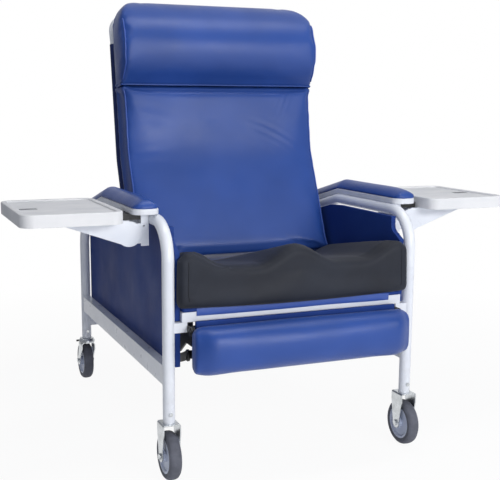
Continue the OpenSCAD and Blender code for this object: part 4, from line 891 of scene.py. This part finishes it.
# The pad's ends turn back in a round and pass in front of the hinges, its corners are
# drawn in and its front is crowned.
end = np.clip((np.abs(co[:, 0]) - pad_hi.x + 0.045) / 0.045, 0, 1)
corner = np.clip((np.abs(co[:, 0]) - pad_hi.x + 0.034) / 0.034, 0, 1)
forward = (pad_hi.y - co[:, 1]) / thick
crown = 1 - np.clip(np.abs(co[:, 2] - mid_z - 0.012) / half_z, 0, 1) ** 2
co[:, 1] = pad_hi.y - (pad_hi.y - co[:, 1]) * np.sqrt(1 - 0.7 * end ** 2) - 0.017 * crown * forward * (1 - end)
co[:, 1] -= 0.014 * ramp(np.abs(co[:, 0]), pad_hi.x - 0.012, pad_hi.x - 0.002)
co[:, 2] = mid_z + (co[:, 2] - mid_z) * (1 - 0.18 * (1 - np.sqrt(1 - corner ** 2)))
co[:, 0] *= 1 + 0.048 * ramp(np.abs(co[:, 0]), 0.10, pad_hi.x)
set_coords(pad, co)
swell(pad, co[:, 1] > pad_hi.y - 0.004, 0.006)
ease(pad, np.ones(len(co)), 3)
subdivided(pad)
loop = [(pad_hi.x * math.copysign(abs(math.cos(a)) ** 0.12, math.cos(a)), pad_hi.y - 0.004,
         mid_z + half_z * math.copysign(abs(math.sin(a)) ** 0.3, math.sin(a)))
        for a in np.linspace(0, 2 * math.pi, 160)]
welt("legrest_piping", pad, loop, 0.0022, navy, "legrest", 0.001, True)
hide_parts("legrest_pad")

# The board behind it is wrapped in the same vinyl and closes the gap below the seat. It is drawn in the darker
# side-panel blue, painted shade on the flap under the seat.
bevelled("legrest_board", "legrest_board_cover", side_vinyl_and_painted_shade, "legrest", 0.0035)

# ---------------------------------------------------------------- arm rests and trays

for side, s in SIDES:
    node = "arm_pad_" + side
    arm = copy_of(node, "arm_pad_cover_" + side, blue, "frame")
    remeshed(arm, 0.0045, 2, -0.0006)
    faces_base = surface_of(NODES["arm_base_" + side])
    lo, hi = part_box(node)
    mid_x, half_x = (lo.x + hi.x) / 2, (hi.x - lo.x) / 2
    co = coords(arm)
    # Its foam is domed across, thin at its edges, and comes down to a nose in front.
    across = np.clip(np.abs(co[:, 0] - mid_x) / half_x, 0, 1)
    dome = 0.42 + 0.66 * (1 - across ** 2.4) ** 0.7
    nose = 0.5 + 0.5 * np.sqrt(np.clip(1 - (1 - np.clip((co[:, 1] - lo.y) / 0.10, 0, 1)) ** 2, 0, 1))
    for i, p in enumerate(co):
        y = min(max(p[1], lo.y + 0.006), hi.y - 0.006)
        under = faces_base.ray_cast(Vector((mid_x, y, 2)), Vector((0, 0, -1)))[0]
        if under is not None:
            co[i, 2] = under.z + (p[2] - under.z) * dome[i] * nose[i]
    co[:, 0] = mid_x + (co[:, 0] - mid_x) * 1.01
    set_coords(arm, co)
    swell(arm, resting(arm, faces_base, 0.006), 0.003)
    subdivided(arm)
    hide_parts(node)
    bevelled("arm_base_" + side, "arm_base_moulding_" + side, base_white, "frame", 0.003)
    top = high("tray_" + side).z
    bevelled("tray_" + side, "tray_moulding_" + side, tray_white, "side_tray_" + side, 0.003, 3,
             lambda v: v.z > top - 0.0005)

# ---------------------------------------------------------------- hardware

# Bright bolts on the tails of the legrest's arms, and the nuts of the back's studs.
for side, s in SIDES:
    lo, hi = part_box("legrest_arm_" + side)
    face = max(abs(lo.x), abs(hi.x)) - 0.0118
    bolts = Parts("legrest_bolts_" + side, zinc, "legrest", "zinc")
    bolts.screw((s * face, front_y - 0.017, 0.331), (s, 0, 0), 0.0048)
    bolts.made()
    lo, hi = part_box("recliner_rail_" + side)
    inner = min(abs(lo.x), abs(hi.x))
    nuts = Parts("back_stud_nuts_" + side, zinc, "frame", "zinc")
    nuts.nut((s * inner, hi.y - 0.020, lo.z + 0.020), (-s, 0, 0), 0.0055, 0.006)
    nuts.made()

# Pressed cup of each rear caster's swivel bearing, with its rivets.
for side, s in SIDES:
    lo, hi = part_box("rear_fork_" + side)
    cup = Parts("swivel_cup_" + side, zinc, "caster_" + side, "zinc")
    spin_at = Vector((s * leg_x, rear_y, 0))
    half_fork = (hi.x - lo.x) / 2
    top = hi.z
    bowl = [(-0.006, -0.004), (0.0025, -0.0155), (0.0035, -0.0155), (0.0035, -0.009), (-0.001, -0.0016),
            (-0.007, 0.0002)]
    cup.lathe([(half_fork + r, top + h) for r, h in bowl], spin_at, (0, 0, 1), 40)
    rivet_ring = half_fork * 0.92
    for a in range(4):
        turned = math.radians(45 + 90 * a)
        rivet = spin_at + Vector((rivet_ring * math.cos(turned), rivet_ring * math.sin(turned), top - 0.0045))
        cup.lathe([(0.0042, 0), (0.0042, 0.0012), (0.0034, 0.0028), (0.0016, 0.0037)], rivet, (0, 0, 1), 14)
    cup.made()

# Weld beads where the lower rails meet the legs.
rail_half = (high("side_rail_right").x - low("side_rail_right").x) / 2
rail_mid = (high("side_rail_right").x + low("side_rail_right").x) / 2
for side, s in SIDES:
    welds = Parts("rail_welds_" + side, white, "frame", "white_enamel")
    lo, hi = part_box("side_rail_" + side)
    for y, way in ((front_y, 1), (rear_y, -1)):
        across = np.linspace(-rail_half, rail_half, 9)
        loop = [(s * rail_mid + x, y + way * math.sqrt(tube_r ** 2 - x ** 2), hi.z) for x in across]
        loop += [(s * rail_mid + x, y + way * math.sqrt(tube_r ** 2 - x ** 2), lo.z) for x in across[::-1]]
        welds.put(*swept([Vector(v) for v in loop], ring_section(0.0016, 6), True))
    welds.made()

# Black plugs in the open rear ends of the seat's side bars.
plugs = Parts("seat_tube_plugs", black_caps_and_tip_shade, "frame", "black_steel")
lo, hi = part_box("seat_frame")
BAR_HALF, PLUG_HALF, PLUG_OUT = 0.0127, 0.0122, 0.0022
for s in (-1, 1):
    x = s * (hi.x - BAR_HALF)
    z = (lo.z + hi.z) / 2
    square = [(x + a * PLUG_HALF, hi.y, z + b * PLUG_HALF) for a, b in ((-1, -1), (1, -1), (1, 1), (-1, 1))]
    outer = [Vector(v) + Vector((0, PLUG_OUT, 0)) for v in square]
    crown = [Vector((x, hi.y + PLUG_OUT + 0.001, z)) + (v - Vector((x, hi.y + PLUG_OUT, z))) * 0.82 for v in outer]
    plugs.put([Vector(v) for v in square] + outer + crown, rows_of_faces(3, 4))
plugs.made()

# Grip insert in each tray's finger recess, and a black piece under the tray at the arm's tip: the arm's end plate,
# its black painted shade.
TRAY_RIM, GRIP_IN, GRIP_SHARE = 0.016, 0.054, 0.42
DOWN = Vector((0, 0, -1))
for side, s in SIDES:
    lo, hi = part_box("tray_" + side)
    far = max(abs(lo.x), abs(hi.x))
    x0, y0 = far - TRAY_RIM - GRIP_IN, lo.y + GRIP_SHARE * (hi.y - lo.y)
    inside = surface_of(NODES["tray_" + side]).ray_cast(Vector((s * (far - 0.12), lo.y + 0.2, 1)), DOWN)[0].z
    plate = bmesh.new()
    bmesh.ops.create_cube(plate, size=1, matrix=Matrix.LocRotScale(
        Vector((s * (x0 + 0.024), y0 + 0.0135, inside - 0.0012)), None, Vector((0.044, 0.024, 0.0030))))
    bmesh.ops.bevel(plate, geom=plate.edges[:], offset=0.0011, affect="EDGES", segments=2, profile=0.5, material=-1)
    grip = Parts("tray_grip_" + side, grey_pad, "side_tray_" + side, "tray_plastic")
    plate.verts.index_update()
    grip.put([v.co.copy() for v in plate.verts], [[v.index for v in f.verts] for f in plate.faces])
    plate.free()
    for i in range(7):
        y = y0 + 0.0045 + i * 0.003
        grip.run([(s * (x0 + 0.005), y, inside + 0.0002), (s * (x0 + 0.043), y, inside + 0.0002)], 0.0006, 6)
    grip.made()
    lo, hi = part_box("tray_arm_" + side)
    tip, under = max(abs(lo.x), abs(hi.x)), low("tray_" + side).z
    section = [(tip - 0.012, under), (tip - 0.012, under - 0.0095), (tip + 0.004, under - 0.0085),
               (tip + 0.020, under - 0.003), (tip + 0.020, under)]
    rings = [Vector((s * x, y, z)) for y in (lo.y + 0.002, hi.y - 0.002) for x, z in section]
    # The piece under the tray tip stands for the arm's end plate; its black is painted shade.
    tip_shade_piece = Parts("tray_bumper_" + side, black_caps_and_tip_shade, "side_tray_" + side, "black_steel")
    tip_shade_piece.put(rings, rows_of_faces(2, len(section)))
    tip_shade_piece.made()

# ---------------------------------------------------------------- floor and world

ground, tree, place = new_tree("pale_floor")
ray = add(tree, "LightPath").node.outputs
seen = add(tree, "Math", {"operation": "MAXIMUM"}, _0=ray["Is Camera Ray"], _1=ray["Is Glossy Ray"])
seen = add(tree, "Math", {"operation": "MAXIMUM"}, _0=seen, _1=ray["Is Transmission Ray"])
# The floor runs out to plain white round the chair, and to the left it is as dark to
# gloss as the studio is there.
across = add(tree, "SeparateXYZ", out="X", Vector=place)
away = add(tree, "VectorMath", {"operation": "LENGTH"}, "Value", _0=place)
white_out = add(tree, "MapRange", _0=away, _1=0.9, _2=2.2, _3=0.94, _4=1.0)
dim = add(tree, "MapRange", _0=across, _1=-1.6, _2=-0.4, _3=0.15, _4=1.0)
matt = add(tree, "Math", {"operation": "SUBTRACT"}, _0=1.0, _1=ray["Is Glossy Ray"])
dim = add(tree, "Math", {"operation": "MAXIMUM"}, _0=dim, _1=matt)
share = add(tree, "Math", {"operation": "MULTIPLY"}, _0=seen, _1=white_out)
lit = add(tree, "BsdfDiffuse", Color=rgb("F4F5F7"))
glow = add(tree, "Emission", Color=(1, 1, 1, 1), Strength=dim)
add(tree, "OutputMaterial", Surface=add(tree, "MixShader", Fac=share, _1=lit, _2=glow))
floor = bpy.data.objects.new("floor", bpy.data.meshes.new("floor"))
floor.data.from_pydata([(-8, -8, 0), (8, -8, 0), (8, 8, 0), (-8, 8, 0)], [], [(0, 1, 2, 3)])
floor.data.materials.append(ground)
scene.collection.objects.link(floor)

world = bpy.data.worlds.new("studio")
scene.world = world
world.use_nodes = True
tree = world.node_tree
tree.nodes.clear()
ray = add(tree, "LightPath").node.outputs
# The studio is bright behind the chair, dimmer in front and dark to its left, which
# keeps the sides that face that way deep in tone.
way = add(tree, "SeparateXYZ", Vector=add(tree, "TexCoord", out="Generated")).node.outputs
left_dark = add(tree, "MapRange", _0=way["X"], _1=-0.3, _2=0.2, _3=0.12, _4=1.0)
front_dim = add(tree, "MapRange", _0=way["Y"], _1=-0.4, _2=0.25, _3=0.25, _4=0.8)
open_side = add(tree, "Math", {"operation": "MULTIPLY"}, _0=left_dark, _1=front_dim)
mirrored = add(tree, "Math", {"operation": "MULTIPLY"}, _0=ray["Is Glossy Ray"], _1=open_side)
seen = add(tree, "Math", {"operation": "MAXIMUM"}, _0=ray["Is Camera Ray"], _1=mirrored)
seen = add(tree, "Math", {"operation": "MAXIMUM"}, _0=seen, _1=ray["Is Transmission Ray"])
room = add(tree, "Background", Color=rgb("D9DEEA"), Strength=0.3)
bright = add(tree, "Background", Color=(1, 1, 1, 1), Strength=1.0)
add(tree, "OutputWorld", Surface=add(tree, "MixShader", Fac=seen, _1=room, _2=bright))
